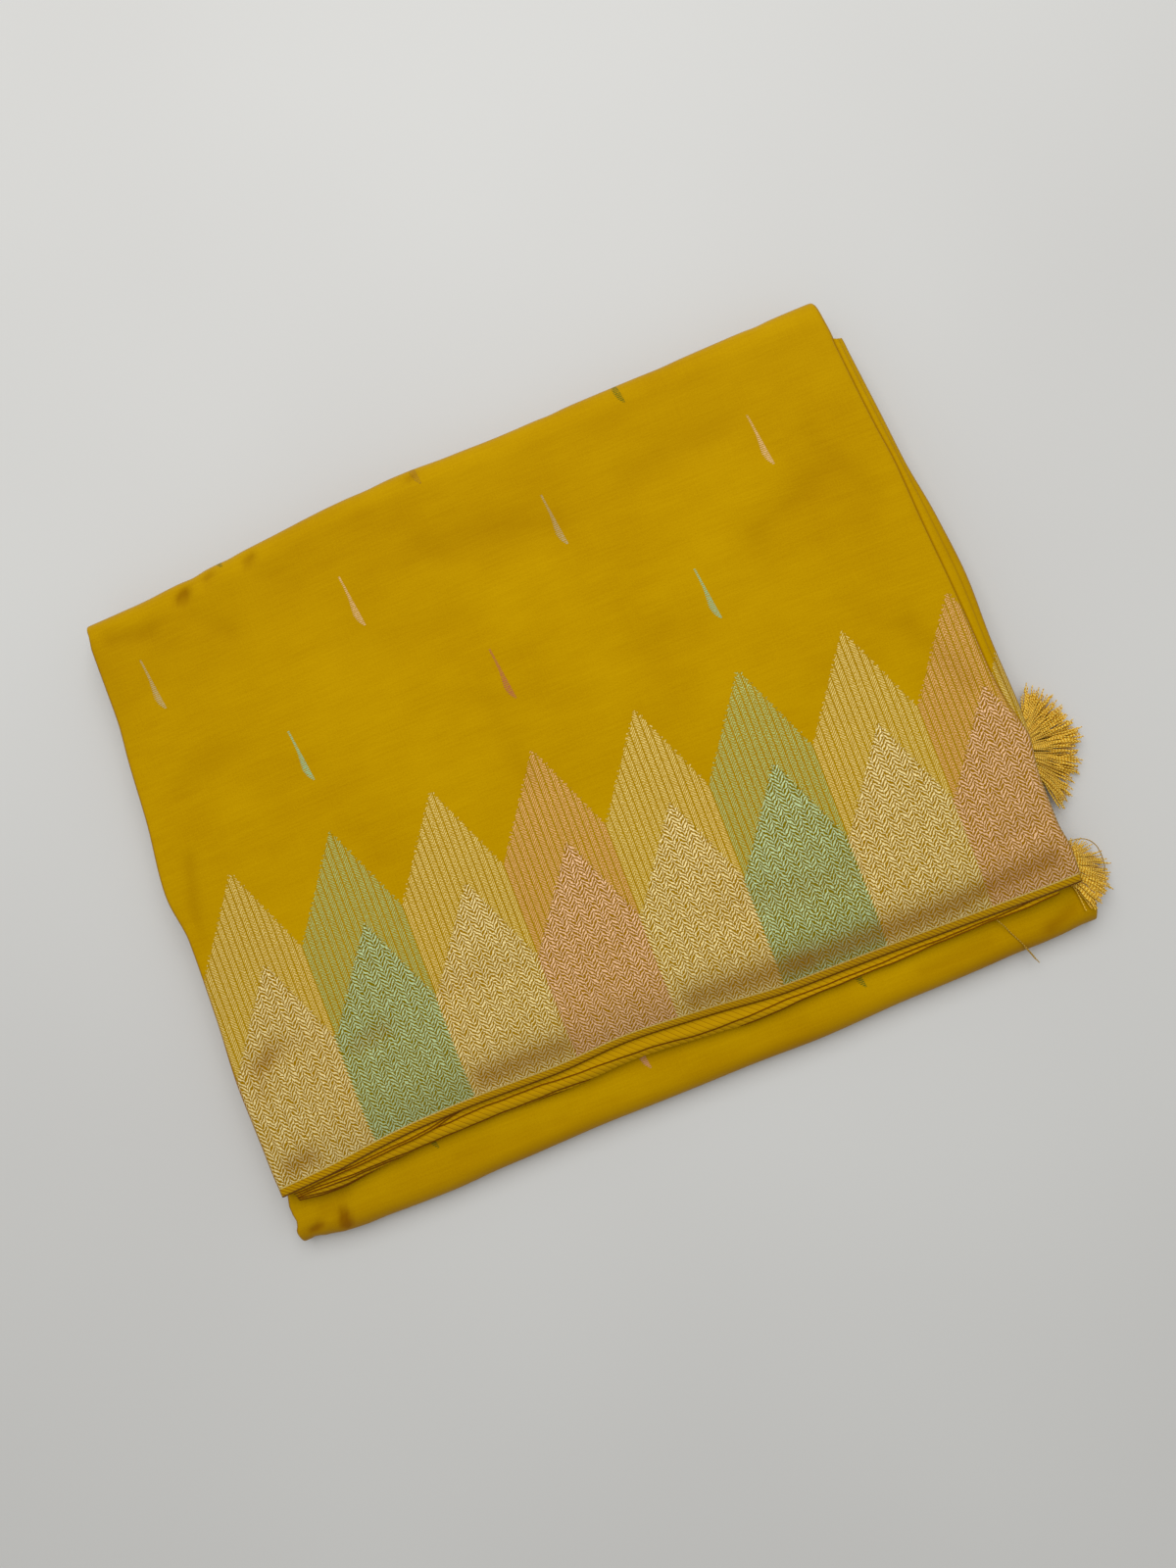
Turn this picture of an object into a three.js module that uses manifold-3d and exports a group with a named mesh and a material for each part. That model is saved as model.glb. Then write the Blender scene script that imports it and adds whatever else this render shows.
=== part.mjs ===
// Silk sari, folded for the shelf and lying flat: millimetres, +Z up.
//
// The cloth is folded along its length into a band of plies, and the band is folded in four
// across its width: over the top, round the back, under, round the front, back again, and
// forward once more. The pile rests on z = 0, its border runs along X, and its back is +Y.
import * as THREE from 'three';
import { mergeVertices } from 'three/addons/utils/BufferGeometryUtils.js';
import Module from 'manifold-3d';

// Driving dimensions.
const BAND = 6;            // one folded band of plies, pressed
const SEAM = 0.3;          // air between two pieces that touch
const LAYER = BAND + 0.35; // a band and the air above it
const WALL = 1.2;          // thickness of a ply drawn as a wall
const TOP = 25;            // height of the pile
const FRONT_ROUND = 1.45;  // depth of the front fold for its height
const SQUARENESS = 0.5;    // power that squares up a pressed fold: 1 leaves it round
const DROP_LENGTH = 30;    // the length over which the top sinks towards its selvedge
const PLY_STEP = 1.3;      // from one selvedge down to the next
const SELVEDGES = 4;       // selvedges that show at the front
const STEP_IN = 40;        // the length over which a ply takes the place of one that has ended
const TASSEL_GAP = 2.6;    // air for the strands between the front fold and the top stretch
const TURN_UNDER = 9;      // how far a ply runs on past its fold, out of sight

const BACK_RADIUS = TOP / 2;
const FRONT_RADIUS = LAYER - SEAM / 2;
const COVER = WALL + 1.7 * SEAM; // what a ply takes off the band that it covers

/** Table as a list of rows with named columns. */
const table = (columns, rows) => rows.map((row) => Object.fromEntries(row.map((v, i) => [columns[i], v])));

// The pile seen from above, a row for each place along the border: the back fold, the four
// selvedges from the top down, and the front fold. The second and fourth run back out of
// sight towards the right. The last column is how far the top sinks to its selvedge.
const PLAN = table(['x', 'back', 'top', 'second', 'third', 'fourth', 'front', 'drop'], [
  [-214, 150.7, -137.8, -138.8, -140.4, -141.7, -164.3, 3.5],
  [-190, 151.6, -135.8, -137.8, -139.9, -143.4, -167.2, 3.5],
  [-165, 153.4, -132.5, -135.8, -139.7, -142.3, -166.8, 4.2],
  [-140, 155.8, -130.2, -133.7, -139.4, -141.8, -166.4, 5],
  [-110, 158.6, -129.3, -128.6, -138, -141.4, -164.6, 5.5],
  [-75, 161.9, -129.5, -127.5, -137.8, -140.2, -162.8, 6.2],
  [-35, 163.6, -127.2, -127, -138.2, -140.3, -161.6, 6.7],
  [5, 163, -129.3, -127.5, -139.9, -137, -160.7, 7],
  [45, 164.2, -132.1, -127.5, -138.4, -133, -160.2, 7.4],
  [85, 165, -131.9, -127.5, -137, -130, -158.1, 7.8],
  [125, 166.2, -131.8, -127.5, -135.5, -128, -156.3, 7],
  [165, 167.2, -131.7, -127.5, -134, -128, -154.7, 5.6],
  [190, 167.4, -131.3, -127.5, -132.8, -128, -153, 4.6],
]);

// The ends of the plies, a row for each place from the front to the back: the top stretch's
// left fold, the crease inside its right fold, its right fold, and the ends of the bands below.
const ENDS = table(['y', 'left', 'crease', 'right', 'lowLeft', 'lowRight'], [
  [-168, -216, 184, 189.1, -216.8, 191.8],
  [-155, -216, 184, 189.1, -218.8, 192.6],
  [-142, -216, 184, 189.1, -217.4, 193.6],
  [-132, -215.5, 184, 189.1, -214, 190],
  [-115, -215.3, 183.5, 188.8, -213.6, 187],
  [-101, -215.6, 182, 187, -214.8, 186],
  [-82, -216, 182, 187.1, -214, 185.6],
  [-48, -214.3, 183.5, 190.8, -213.6, 187.4],
  [-9, -213.4, 182.5, 189.8, -212, 188.6],
  [15, -216.4, 181.5, 190.3, -214.2, 188.2],
  [52, -212.5, 179.2, 187.3, -212, 185],
  [81, -210.5, 177.8, 183, -209, 182],
  [103, -208.5, 175.3, 181, -208, 179.6],
  [144, -207.6, 171.5, 177.4, -206.4, 175.6],
  [148, -207.5, 170.2, 173.4, -206.2, 172],
  [168, -207.3, 169.4, 172, -205.6, 170],
]);

// How far the third band's right end stands back: it leaves room for the heads of the tassels.
const TASSEL_ROOM = table(['y', 'inset'], [
  [-168, 24],
  [-128, 24],
  [-96, 20],
  [-84, 6],
  [-76, 22],
  [-46, 22],
  [-34, 3],
  [168, 1],
]);

// The selvedges that show under the top one, from the top down, with the stretch that is made.
const STRIPS = [
  { name: 'second_selvedge', column: 'second', number: 1, left: -210, right: -95 },
  { name: 'third_selvedge', column: 'third', number: 2, left: -210, right: 177 },
  { name: 'fourth_selvedge', column: 'fourth', number: 3, left: -210, right: 30 },
];
// Rows of a strip, behind the top stretch's edge; the first is the strip's own edge.
const STRIP_ROWS = [-TURN_UNDER, 0, 4, 8, 12];
const STRIP_CLEAR = 2; // how far past a strip's end the plies below start to rise
const [SECOND_END, FOURTH_END] = [STRIPS[0].right + STRIP_CLEAR, STRIPS[2].right + STRIP_CLEAR];
// Places along the border where the sections have a point: the plan's rows and the strips' ends.
const PLACES = [...PLAN.slice(1, -1).map((row) => row.x), SECOND_END, FOURTH_END].sort((a, b) => a - b);

// The tassels: the place of the head, the middle and half-width of the fan in degrees, the
// strands in a row, how far they reach, and the height of the head.
const TASSELS = [
  { name: 'rear_tassel', x: 173, y: -61, heading: -9, spread: 40, strands: 18, reach: 44.5, height: 5 },
  { name: 'front_tassel', x: 174, y: -112, heading: -36, spread: 25, strands: 13, reach: 41, height: 3 },
];
const HEAD = { length: 14, width: 13 };
const STRAND = { radius: 0.36, sides: 3, floor: 0.8, fall: 13 };
// The rows of strands in a tassel, from the lowest: their height over the band that they lie on,
// their height over the floor at the tip, and their share of the reach.
const STRAND_ROWS = [
  { lie: 0.75, tip: 0.5, reach: 0.96 },
  { lie: 1.75, tip: 3.6, reach: 1 },
  { lie: 3.3, tip: 7.2, reach: 0.93 },
];

const COLOURS = { silk: 0xb88a0a, border: 0xc9a24e, selvedge: 0xa87c08, thread: 0xe0ac1e };

const mix = (a, b, t) => a + (b - a) * t;
const ease = (t) => t * t * (3 - 2 * t);
const clamp01 = (t) => Math.min(1, Math.max(0, t));

/** A table's column at a place, straight between its rows. */
function lookUp(table, key, column, place) {
  let row = 0;
  while (row < table.length - 2 && place > table[row + 1][key]) row += 1;
  const [low, high] = [table[row], table[row + 1]];
  return mix(low[column], high[column], clamp01((place - low[key]) / (high[key] - low[key])));
}
const plan = (column, x) => lookUp(PLAN, 'x', column, x);
const end = (column, y) => lookUp(ENDS, 'y', column, y);

/** Height of the top ply: level, and sinking ever faster towards its selvedge. */
function topHeight(x, y) {
  const near = clamp01(1 - (y - plan('top', x)) / DROP_LENGTH);
  return TOP - plan('drop', x) * near * near;
}

/** Share of the way past the end of a strip that the plies below take to rise into its place. */
const past = (place, x) => ease(clamp01((x - place) / STEP_IN));

/** Top of the third band, pressed thin under the selvedges that are there. */
function thirdTop(x, y) {
  const strips = SELVEDGES - past(SECOND_END, x) - past(FOURTH_END, x);
  return Math.min(2 * LAYER - SEAM / 6 + BAND, topHeight(x, y) - strips * PLY_STEP - SEAM);
}

const backTurn = (x) => plan('back', x) - BACK_RADIUS;
const frontTurn = (x) => plan('front', x) + FRONT_ROUND * FRONT_RADIUS;

/** Sine and cosine of a fold's turn, squared up as a pressed fold is. */
function pressed(angle) {
  const squareUp = (value) => Math.sign(value) * Math.abs(value) ** SQUARENESS;
  return [squareUp(Math.sin(angle)), squareUp(Math.cos(angle))];
}

/** Place on a pressed fold of a radius round a middle, for a share of half a turn. */
function onFold(y, z, radius, t) {
  const [out, up] = pressed(Math.PI * t);
  return [y + radius * out, z + radius * up];
}

// The band's way through the pile. Each run gives y and z from x, the way along it and the
// depth under its outer face.
const RUNS = {
  top: (x, t, depth) => {
    const y = mix(plan('top', x), backTurn(x), t);
    return [y, topHeight(x, y) - depth];
  },
  back: (x, t, depth) => onFold(backTurn(x), BACK_RADIUS, BACK_RADIUS - depth, t),
  bottom: (x, t, depth) => [mix(backTurn(x), frontTurn(x), t), depth],
  front: (x, t, depth) => [
    frontTurn(x) - FRONT_ROUND * (FRONT_RADIUS - depth) * Math.sin(Math.PI * t),
    FRONT_RADIUS - (FRONT_RADIUS - depth) * Math.cos(Math.PI * t),
  ],
  second: (x, t, depth) => [mix(frontTurn(x), backTurn(x), t), 2 * FRONT_RADIUS - depth],
  inner: (x, t, depth) => onFold(backTurn(x), 2 * FRONT_RADIUS + SEAM / 2, SEAM / 2 + depth, 1 - t),
  third: (x, t, depth) => [mix(backTurn(x), plan('top', x) + 4, t), 2 * FRONT_RADIUS + SEAM + depth],
};

/** Closed body between an outer and an inner grid of points, each a list of rows along the cloth. */
function wallBetween(outer, inner) {
  const [rows, columns] = [outer.length, outer[0].length];
  const positions = [...outer.flat(), ...inner.flat()].flatMap((p) => p);
  const index = [];
  const out = (j, i) => j * columns + i;
  const under = (j, i) => rows * columns + j * columns + i;
  const face = (a, b, c, d) => index.push(a, b, c, a, c, d);
  for (let j = 0; j < rows - 1; j += 1) {
    for (let i = 0; i < columns - 1; i += 1) {
      face(out(j, i), out(j, i + 1), out(j + 1, i + 1), out(j + 1, i));
      face(under(j, i), under(j + 1, i), under(j + 1, i + 1), under(j, i + 1));
    }
    face(out(j, 0), out(j + 1, 0), under(j + 1, 0), under(j, 0));
    face(out(j + 1, columns - 1), out(j, columns - 1), under(j, columns - 1), under(j + 1, columns - 1));
  }
  for (let i = 0; i < columns - 1; i += 1) {
    face(out(0, i + 1), out(0, i), under(0, i), under(0, i + 1));
    face(out(rows - 1, i), out(rows - 1, i + 1), under(rows - 1, i + 1), under(rows - 1, i));
  }
  const geometry = new THREE.BufferGeometry();
  geometry.setAttribute('position', new THREE.Float32BufferAttribute(positions, 3));
  geometry.setIndex(index);
  return geometry;
}

/** Open outline moved inwards by a distance, each point along the mean of its two normals. */
function offsetOutline(points, distance) {
  return points.map((point, i) => {
    const before = points[Math.max(i - 1, 0)];
    const after = points[Math.min(i + 1, points.length - 1)];
    const [dx, dd] = [after[0] - before[0], after[1] - before[1]];
    const length = Math.hypot(dx, dd);
    return [point[0] - (dd / length) * distance, point[1] + (dx / length) * distance];
  });
}

/** Evenly spaced numbers from a to b, both included. */
const steps = (a, b, count) => Array.from({ length: count + 1 }, (_, i) => mix(a, b, i / count));

/** Stations along a run, as [run, way] pairs. */
const along = (run, ways) => ways.map((way) => [run, way]);

/**
 * Wall along a list of stations. outlineAt gets the function that gives a station's y for an x,
 * and returns the outer outline there as [x, depth] points, the depth under the run's face.
 */
function sweptWall(stations, outlineAt, thickness) {
  const grids = [[], []];
  for (const [run, way] of stations) {
    const outline = outlineAt((x) => RUNS[run](x, way, 0)[0]);
    [outline, offsetOutline(outline, thickness)].forEach((points, side) => {
      grids[side].push(points.map(([x, depth]) => {
        const [y, z] = RUNS[run](x, way, depth);
        return [x, y, z];
      }));
    });
  }
  return wallBetween(grids[0], grids[1]);
}

/** Left fold of a ply round its band: half a turn from underneath, as [x, depth] points. */
const leftFold = (x, height) => steps(Math.PI, 0, 6).map((angle) => {
  const [out, up] = pressed(angle);
  return [x + (height / 2) * (1 - out), (height / 2) * (1 - up)];
});

/** Right fold of a ply round its band, from the top down. */
const rightFold = (x, height) => leftFold(0, height).reverse().map(([dx, depth]) => [x - dx, depth]);

/** The places along the border, the last of them kept clear of a right end. */
const placesBefore = (right) => PLACES.map((x) => Math.min(x, right - 4));

/** Level points between a left fold and a right end. */
const levelTo = (right) => placesBefore(right[0]).map((x) => [x, 0]);

// Heights across the right side of the top stretch, from the crease to the fold's underside:
// the share of the strip's width, the move beyond it, and the share of the band's height.
const RIGHT_STRIP = [
  { share: 0, move: -1.6, depth: 0.02 },
  { share: 0, move: 0, depth: 0.17 },
  { share: 0.3, move: 0, depth: 0.2 },
  { share: 0.7, move: -0.3, depth: 0.36 },
  { share: 1, move: -0.5, depth: 0.56 },
  { share: 1, move: 0, depth: 0.76 },
  { share: 1, move: -1.2, depth: 0.93 },
  { share: 1, move: -3.2, depth: 1 },
];

/** The top stretch across one station: left fold, flat, crease, sloping strip, right fold. */
function topOutline(yAt) {
  const [yLeft, yRight] = [yAt(-212), yAt(183)];
  const leftX = end('left', yLeft);
  const creaseX = end('crease', yRight);
  const rightX = end('right', yRight);
  const left = leftFold(leftX, topHeight(leftX, yLeft) - thirdTop(leftX, yLeft) - SEAM);
  const rightHeight = Math.min(BAND, topHeight(rightX, yRight) - 2 * FRONT_RADIUS - TASSEL_GAP);
  const strip = RIGHT_STRIP.map((row) => [
    mix(creaseX, rightX, row.share) + row.move,
    row.depth * rightHeight,
  ]);
  return [...left, ...levelTo(strip[0]), ...strip];
}

/** A covering ply of the lower bands across one station, with a fold at each end. */
function lowerOutline(yAt) {
  const left = leftFold(end('lowLeft', yAt(-212)), BAND);
  const right = rightFold(end('lowRight', yAt(188)), BAND);
  return [...left, ...levelTo(right[0]), ...right];
}

// Ways along the top run where it has a station: closer where it sinks, and near the notch at
// the back right corner. The band under it starts at one of them.
const TOP_WAYS = [0, 0.018, 0.036, 0.054, 0.075, 0.1, 0.14, 0.22, 0.3, 0.4, 0.5, 0.6, 0.73, 0.86, 0.97];
const BAND_START = 4;
const BACK_STEPS = 9;

const topStations = () => [
  ...along('top', TOP_WAYS),
  ...along('back', steps(0, 1, BACK_STEPS)),
  ...along('bottom', [TURN_UNDER / (backTurn(0) - frontTurn(0))]),
];

/** Stations of the ply round the front fold, from under it to under the selvedges. */
function frontStations() {
  const length = backTurn(0) - frontTurn(0);
  return [
    ...along('bottom', [1 - TURN_UNDER / length]),
    ...along('front', steps(0, 1, 8)),
    ...along('second', [TURN_UNDER / length, (2.6 * TURN_UNDER) / length]),
  ];
}

/** One selvedge that shows under the top one: a strip, from its edge to out of sight. */
function selvedgeStrip({ column, number, left, right }) {
  const places = [left, ...PLACES.filter((x) => x > left && x < right), right];
  const face = (extra) => STRIP_ROWS.map((row, k) => places.map((x) => {
    const y = Math.max(plan(column, x) + k * SEAM, plan('top', x) + row);
    const place = number - (number > 1 ? past(SECOND_END, x) : 0);
    return [x, y, topHeight(x, y) - place * PLY_STEP - SEAM - extra];
  }));
  return wallBetween(face(0), face(PLY_STEP - SEAM));
}

/** The bands out of sight, as one folded body with rounded ends. */
function innerLayers() {
  const length = backTurn(0) - frontTurn(0);
  const underFront = (3.6 * TURN_UNDER) / length;
  const bare = TURN_UNDER / length + 0.012;
  const covered = (run, ends, ways) => ways.map((way) => ({ run, way, ends, inset: COVER }));
  const bareRows = (run, ends, ways) => ways.map((way) => ({ run, way, ends, inset: 0 }));
  const rows = [
    ...covered('top', 'top', TOP_WAYS.slice(BAND_START)),
    ...covered('back', 'top', steps(0, 1, BACK_STEPS)),
    ...covered('bottom', 'top', [bare - 0.008]),
    ...bareRows('bottom', 'low', [bare, 0.15, 0.3, 0.45, 0.55, 0.65, 0.8, 1 - bare]),
    ...covered('bottom', 'low', [1 - bare + 0.008]),
    ...covered('front', 'low', steps(0, 1, 8)),
    ...covered('second', 'low', [underFront - 0.012]),
    ...bareRows('second', 'low', [underFront, 0.2, 0.35, 0.5, 0.65, 0.85]),
    ...bareRows('inner', 'low', steps(0, 1, 7)),
    ...bareRows('third', 'third', [0.1, 0.25, 0.4, 0.5, 0.58, 0.64, 0.68]),
    ...bareRows('third', 'third', [0.715, 0.77, 0.81, 0.85, 0.9, 0.95, 1]),
  ];
  const [outer, inner] = [[], []];
  for (const { run, way, ends, inset } of rows) {
    const yAt = (x) => RUNS[run](x, way, 0)[0];
    const [yLeft, yRight] = [yAt(-210), yAt(184)];
    const room = ends === 'third' ? lookUp(TASSEL_ROOM, 'y', 'inset', yRight) : 0.6;
    const leftX = (ends === 'top' ? end('left', yLeft) : end('lowLeft', yLeft)) + inset + 0.8;
    const rightX = (ends === 'top' ? end('crease', yRight) : end('lowRight', yRight)) - inset - room;
    const bandHeight = (x) => {
      if (run === 'top') return topHeight(x, yAt(x)) - thirdTop(x, yAt(x)) - SEAM;
      if (run === 'third') return thirdTop(x, yAt(x)) - 2 * FRONT_RADIUS - SEAM;
      return BAND;
    };
    const across = [
      { x: leftX, rise: 0.33 },
      { x: leftX + 0.5, rise: 0.12 },
      ...[leftX + 1.7, ...placesBefore(rightX), rightX - 1.7].map((x) => ({ x, rise: 0 })),
      { x: rightX - 0.5, rise: 0.12 },
      { x: rightX, rise: 0.33 },
    ];
    for (const [grid, side] of [[outer, 0], [inner, 1]]) {
      grid.push(across.map(({ x, rise }) => {
        const height = bandHeight(x) - 2 * inset;
        const depth = inset + height * (side === 0 ? rise : 1 - rise);
        const [y, z] = RUNS[run](x, way, depth);
        return [x, y, z];
      }));
    }
  }
  return wallBetween(outer, inner);
}

const wasm = await Module();
wasm.setup();

/** three.js geometry as a solid. */
function toSolid(geometry) {
  const bare = geometry.clone();
  bare.deleteAttribute('normal');
  bare.deleteAttribute('uv');
  const merged = mergeVertices(bare);
  return new wasm.Manifold(new wasm.Mesh({
    numProp: 3,
    vertProperties: Float32Array.from(merged.attributes.position.array),
    triVerts: Uint32Array.from(merged.index.array),
  }));
}

/** Solid as a three.js geometry. */
function toGeometry(solid) {
  const mesh = solid.getMesh();
  const geometry = new THREE.BufferGeometry();
  geometry.setAttribute('position', new THREE.Float32BufferAttribute(mesh.vertProperties, 3));
  geometry.setIndex(new THREE.BufferAttribute(mesh.triVerts, 1));
  return geometry;
}

/** Three-sided strand along a few points, thinner at its tip. */
function strand(points) {
  const rings = points.map((point, k) => {
    const before = points[Math.max(k - 1, 0)];
    const after = points[Math.min(k + 1, points.length - 1)];
    const ahead = new THREE.Vector3().subVectors(after, before).normalize();
    const side = new THREE.Vector3(-ahead.y, ahead.x, 0).normalize();
    const up = new THREE.Vector3().crossVectors(ahead, side);
    const radius = STRAND.radius * mix(1, 0.7, k / (points.length - 1));
    return steps(0, 2 * Math.PI, STRAND.sides).slice(0, -1).map((a) => new THREE.Vector3()
      .copy(point)
      .addScaledVector(side, radius * Math.cos(a))
      .addScaledVector(up, radius * Math.sin(a)));
  });
  const positions = rings.flat().flatMap((p) => p.toArray());
  const index = [];
  const n = STRAND.sides;
  for (let k = 0; k < rings.length - 1; k += 1) {
    for (let i = 0; i < n; i += 1) {
      const [a, b] = [k * n + i, k * n + ((i + 1) % n)];
      index.push(a, b, b + n, a, b + n, a + n);
    }
  }
  const last = (rings.length - 1) * n;
  for (let i = 1; i < n - 1; i += 1) index.push(0, i + 1, i, last, last + i, last + i + 1);
  const geometry = new THREE.BufferGeometry();
  geometry.setAttribute('position', new THREE.Float32BufferAttribute(positions, 3));
  geometry.setIndex(index);
  return geometry;
}

/** Height of a strand: level on the pile, and falling to the floor past its edge. */
function strandHeight(row, x, y) {
  const level = 2 * FRONT_RADIUS + row.lie;
  const fallen = ease(clamp01((x - end('lowRight', y) - 2) / STRAND.fall));
  return mix(level, STRAND.floor + row.tip, fallen);
}

/** Tassel lying on the band under the top stretch: a bound head, and rows of strands in a fan. */
function tassel({ x, y, heading, spread, strands, reach, height }) {
  const base = 2 * FRONT_RADIUS + SEAM + 0.1;
  const turn = THREE.MathUtils.degToRad(heading);
  const head = new THREE.SphereGeometry(0.5, 12, 8)
    .rotateX(Math.PI / 2)
    .scale(HEAD.length, HEAD.width, height)
    .rotateZ(turn)
    .translate(x, y, base + height / 2);
  let solid = toSolid(head);
  STRAND_ROWS.filter((row) => row.lie < height).forEach((row, level) => {
    for (let k = 0; k < strands; k += 1) {
      const place = (k + 0.5 + 0.3 * (level - 1)) / strands - 0.5;
      const angle = turn + 2 * THREE.MathUtils.degToRad(spread) * place;
      const full = reach * row.reach * (1 - 0.05 * Math.cos(9 * angle + level));
      const at = (distance) => {
        const [px, py] = [x + distance * Math.cos(angle), y + distance * Math.sin(angle)];
        return new THREE.Vector3(px, py, strandHeight(row, px, py));
      };
      const distances = [HEAD.length * 0.25, full * 0.36, full * 0.56, full * 0.76, full];
      solid = solid.add(toSolid(strand(distances.map(at))));
    }
  });
  return toGeometry(solid);
}

/** Mesh with its own material. */
function piece(name, geometry, colour, roughness) {
  geometry.computeVertexNormals();
  const material = new THREE.MeshStandardMaterial({ color: colour, roughness, metalness: 0 });
  const mesh = new THREE.Mesh(geometry, material);
  mesh.name = name;
  return mesh;
}

const sari = new THREE.Group();
sari.add(piece('top_stretch', sweptWall(topStations(), topOutline, WALL), COLOURS.border, 0.5));
for (const row of STRIPS) sari.add(piece(row.name, selvedgeStrip(row), COLOURS.selvedge, 0.55));
sari.add(piece('front_fold', sweptWall(frontStations(), lowerOutline, WALL), COLOURS.silk, 0.5));
sari.add(piece('inner_layers', innerLayers(), COLOURS.silk, 0.55));
for (const row of TASSELS) sari.add(piece(row.name, tassel(row), COLOURS.thread, 0.4));

export default sari;
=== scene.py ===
# %% [markdown]
# # A silk sari, folded for the shelf
#
# A sari is one uncut length of cloth, here about 6.2 m by 1.15 m. It has been folded along its
# length into a band of plies about 0.4 m wide, and the band has been folded in four across its
# width. So almost everything in this lesson is the same sheet seen at a different place, and
# each ply is built from one description of the way that the band takes through the pile.
#
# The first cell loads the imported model, whose solids say where each ply lies.

import bpy
import numpy as np
from mathutils import Matrix, Vector


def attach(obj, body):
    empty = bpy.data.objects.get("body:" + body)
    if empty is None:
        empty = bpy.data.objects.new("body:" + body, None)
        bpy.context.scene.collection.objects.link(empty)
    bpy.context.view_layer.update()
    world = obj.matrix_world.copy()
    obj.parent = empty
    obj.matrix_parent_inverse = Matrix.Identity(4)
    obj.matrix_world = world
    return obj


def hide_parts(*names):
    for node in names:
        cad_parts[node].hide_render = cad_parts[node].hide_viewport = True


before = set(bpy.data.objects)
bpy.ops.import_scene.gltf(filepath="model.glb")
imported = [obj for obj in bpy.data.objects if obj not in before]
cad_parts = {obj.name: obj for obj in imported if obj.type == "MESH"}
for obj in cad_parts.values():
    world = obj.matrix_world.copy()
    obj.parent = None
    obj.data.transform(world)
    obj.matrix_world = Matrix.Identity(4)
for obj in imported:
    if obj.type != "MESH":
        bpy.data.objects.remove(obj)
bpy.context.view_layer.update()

# %% [markdown]
# ## Camera
#
# The pile is looked at from almost straight above, from a little over half a metre, as one
# looks at cloth laid on a table. The camera's axes are worked out from a place, the point that
# it looks at, and the direction on the table that runs to the right in the picture, because
# Euler angles are hard to read for a camera that looks down.

# %% Camera
MM = 0.001
CAMERA_AT = (9.6, -20.7, 575.6)     # mm, as all sizes in this file
CAMERA_LOOKS_AT = (-10.35, -6.24, 0.0)
PICTURE_HEADING = -21.08            # degrees from +X to the picture's right
SENSOR = 36.0
FOCAL_SHARE = 1202 / 1600           # focal length for the picture's long side
CLIP_START = 10.0


def new_object(name, data):
    """An object that is linked into the scene."""
    made = bpy.data.objects.new(name, data)
    bpy.context.scene.collection.objects.link(made)
    return made


def look_down_camera():
    """The camera, placed by its point, its target and its heading."""
    place, target = Vector(CAMERA_AT) * MM, Vector(CAMERA_LOOKS_AT) * MM
    forward = (target - place).normalized()
    heading = np.radians(PICTURE_HEADING)
    right = Vector((np.cos(heading), np.sin(heading), 0.0))
    right = (right - right.dot(forward) * forward).normalized()
    up = right.cross(forward)
    camera = new_object("camera", bpy.data.cameras.new("camera"))
    camera.data.sensor_width = SENSOR
    camera.data.lens = SENSOR * FOCAL_SHARE
    camera.data.clip_start = CLIP_START * MM
    camera.matrix_world = Matrix.Translation(place) @ Matrix((right, up, -forward)).transposed().to_4x4()
    bpy.context.scene.camera = camera


look_down_camera()

# %% [markdown]
# ## The pile in numbers
#
# Two short tables describe the pile: one seen along the border, and one seen from the front to
# the back. They are the sizes that the solids were built with. A row is a place, and a curve
# through the rows gives what lies between. The curve is a monotone cubic one: it is smooth,
# and it never swings past a row, so a straight edge stays straight.

# %% Tables of the pile
BAND = 6.0              # one folded band of plies, pressed
SEAM = 0.3              # air between two pieces that touch
LAYER = BAND + 0.35     # a band and the air above it
TOP = 25.0              # height of the pile
FRONT_ROUND = 1.45      # depth of the front fold for its height
SQUARENESS = 0.5        # power that squares up a pressed fold: 1 leaves it round
DROP_LENGTH = 30.0      # the length over which the top sinks towards its selvedge
DROP_POWER = 2.7        # how late in that length it sinks
PLY_STEP = 1.3          # from one selvedge down to the next
SELVEDGES = 4
STEP_IN = 40.0          # the length over which a ply takes the place of one that has ended
TURN_UNDER = 9.0        # how far a ply runs on past its fold, out of sight
COVER = 1.3             # room that a band leaves for the ply round it
TASSEL_GAP = 2.6        # air for the strands under the right end of the top stretch
BACK_RADIUS = TOP / 2
FRONT_RADIUS = LAYER - SEAM / 2
THIRD_TOP = 2 * LAYER - SEAM / 6 + BAND     # top of the third band where nothing presses it
THIRD_SHORT = 4.0       # how far that band ends behind the selvedge of the top stretch

PLAN_COLUMNS = ("x", "back", "top", "second", "third", "fourth", "front", "drop")
PLAN_ROWS = (
    (-214, 150.7, -137.8, -138.8, -140.4, -141.7, -164.3, 3.5),
    (-190, 151.6, -135.8, -137.8, -139.9, -143.4, -167.2, 3.5),
    (-165, 153.4, -132.5, -135.8, -139.7, -142.3, -166.8, 4.2),
    (-140, 155.8, -130.2, -133.7, -139.4, -141.8, -166.4, 5),
    (-110, 158.6, -129.3, -128.6, -138, -141.4, -164.6, 5.5),
    (-75, 161.9, -129.5, -127.5, -137.8, -140.2, -162.8, 6.2),
    (-35, 163.6, -127.2, -127, -138.2, -140.3, -161.6, 6.7),
    (5, 163, -129.3, -127.5, -139.9, -137, -160.7, 7),
    (45, 164.2, -132.1, -127.5, -138.4, -133, -160.2, 7.4),
    (85, 165, -131.9, -127.5, -137, -130, -158.1, 7.8),
    (125, 166.2, -131.8, -127.5, -135.5, -128, -156.3, 7),
    (165, 167.2, -131.7, -127.5, -134, -128, -154.7, 5.6),
    (190, 167.4, -131.3, -127.5, -132.8, -128, -153, 4.6),
)
END_COLUMNS = ("y", "left", "crease", "right", "lowLeft", "lowRight")
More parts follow.
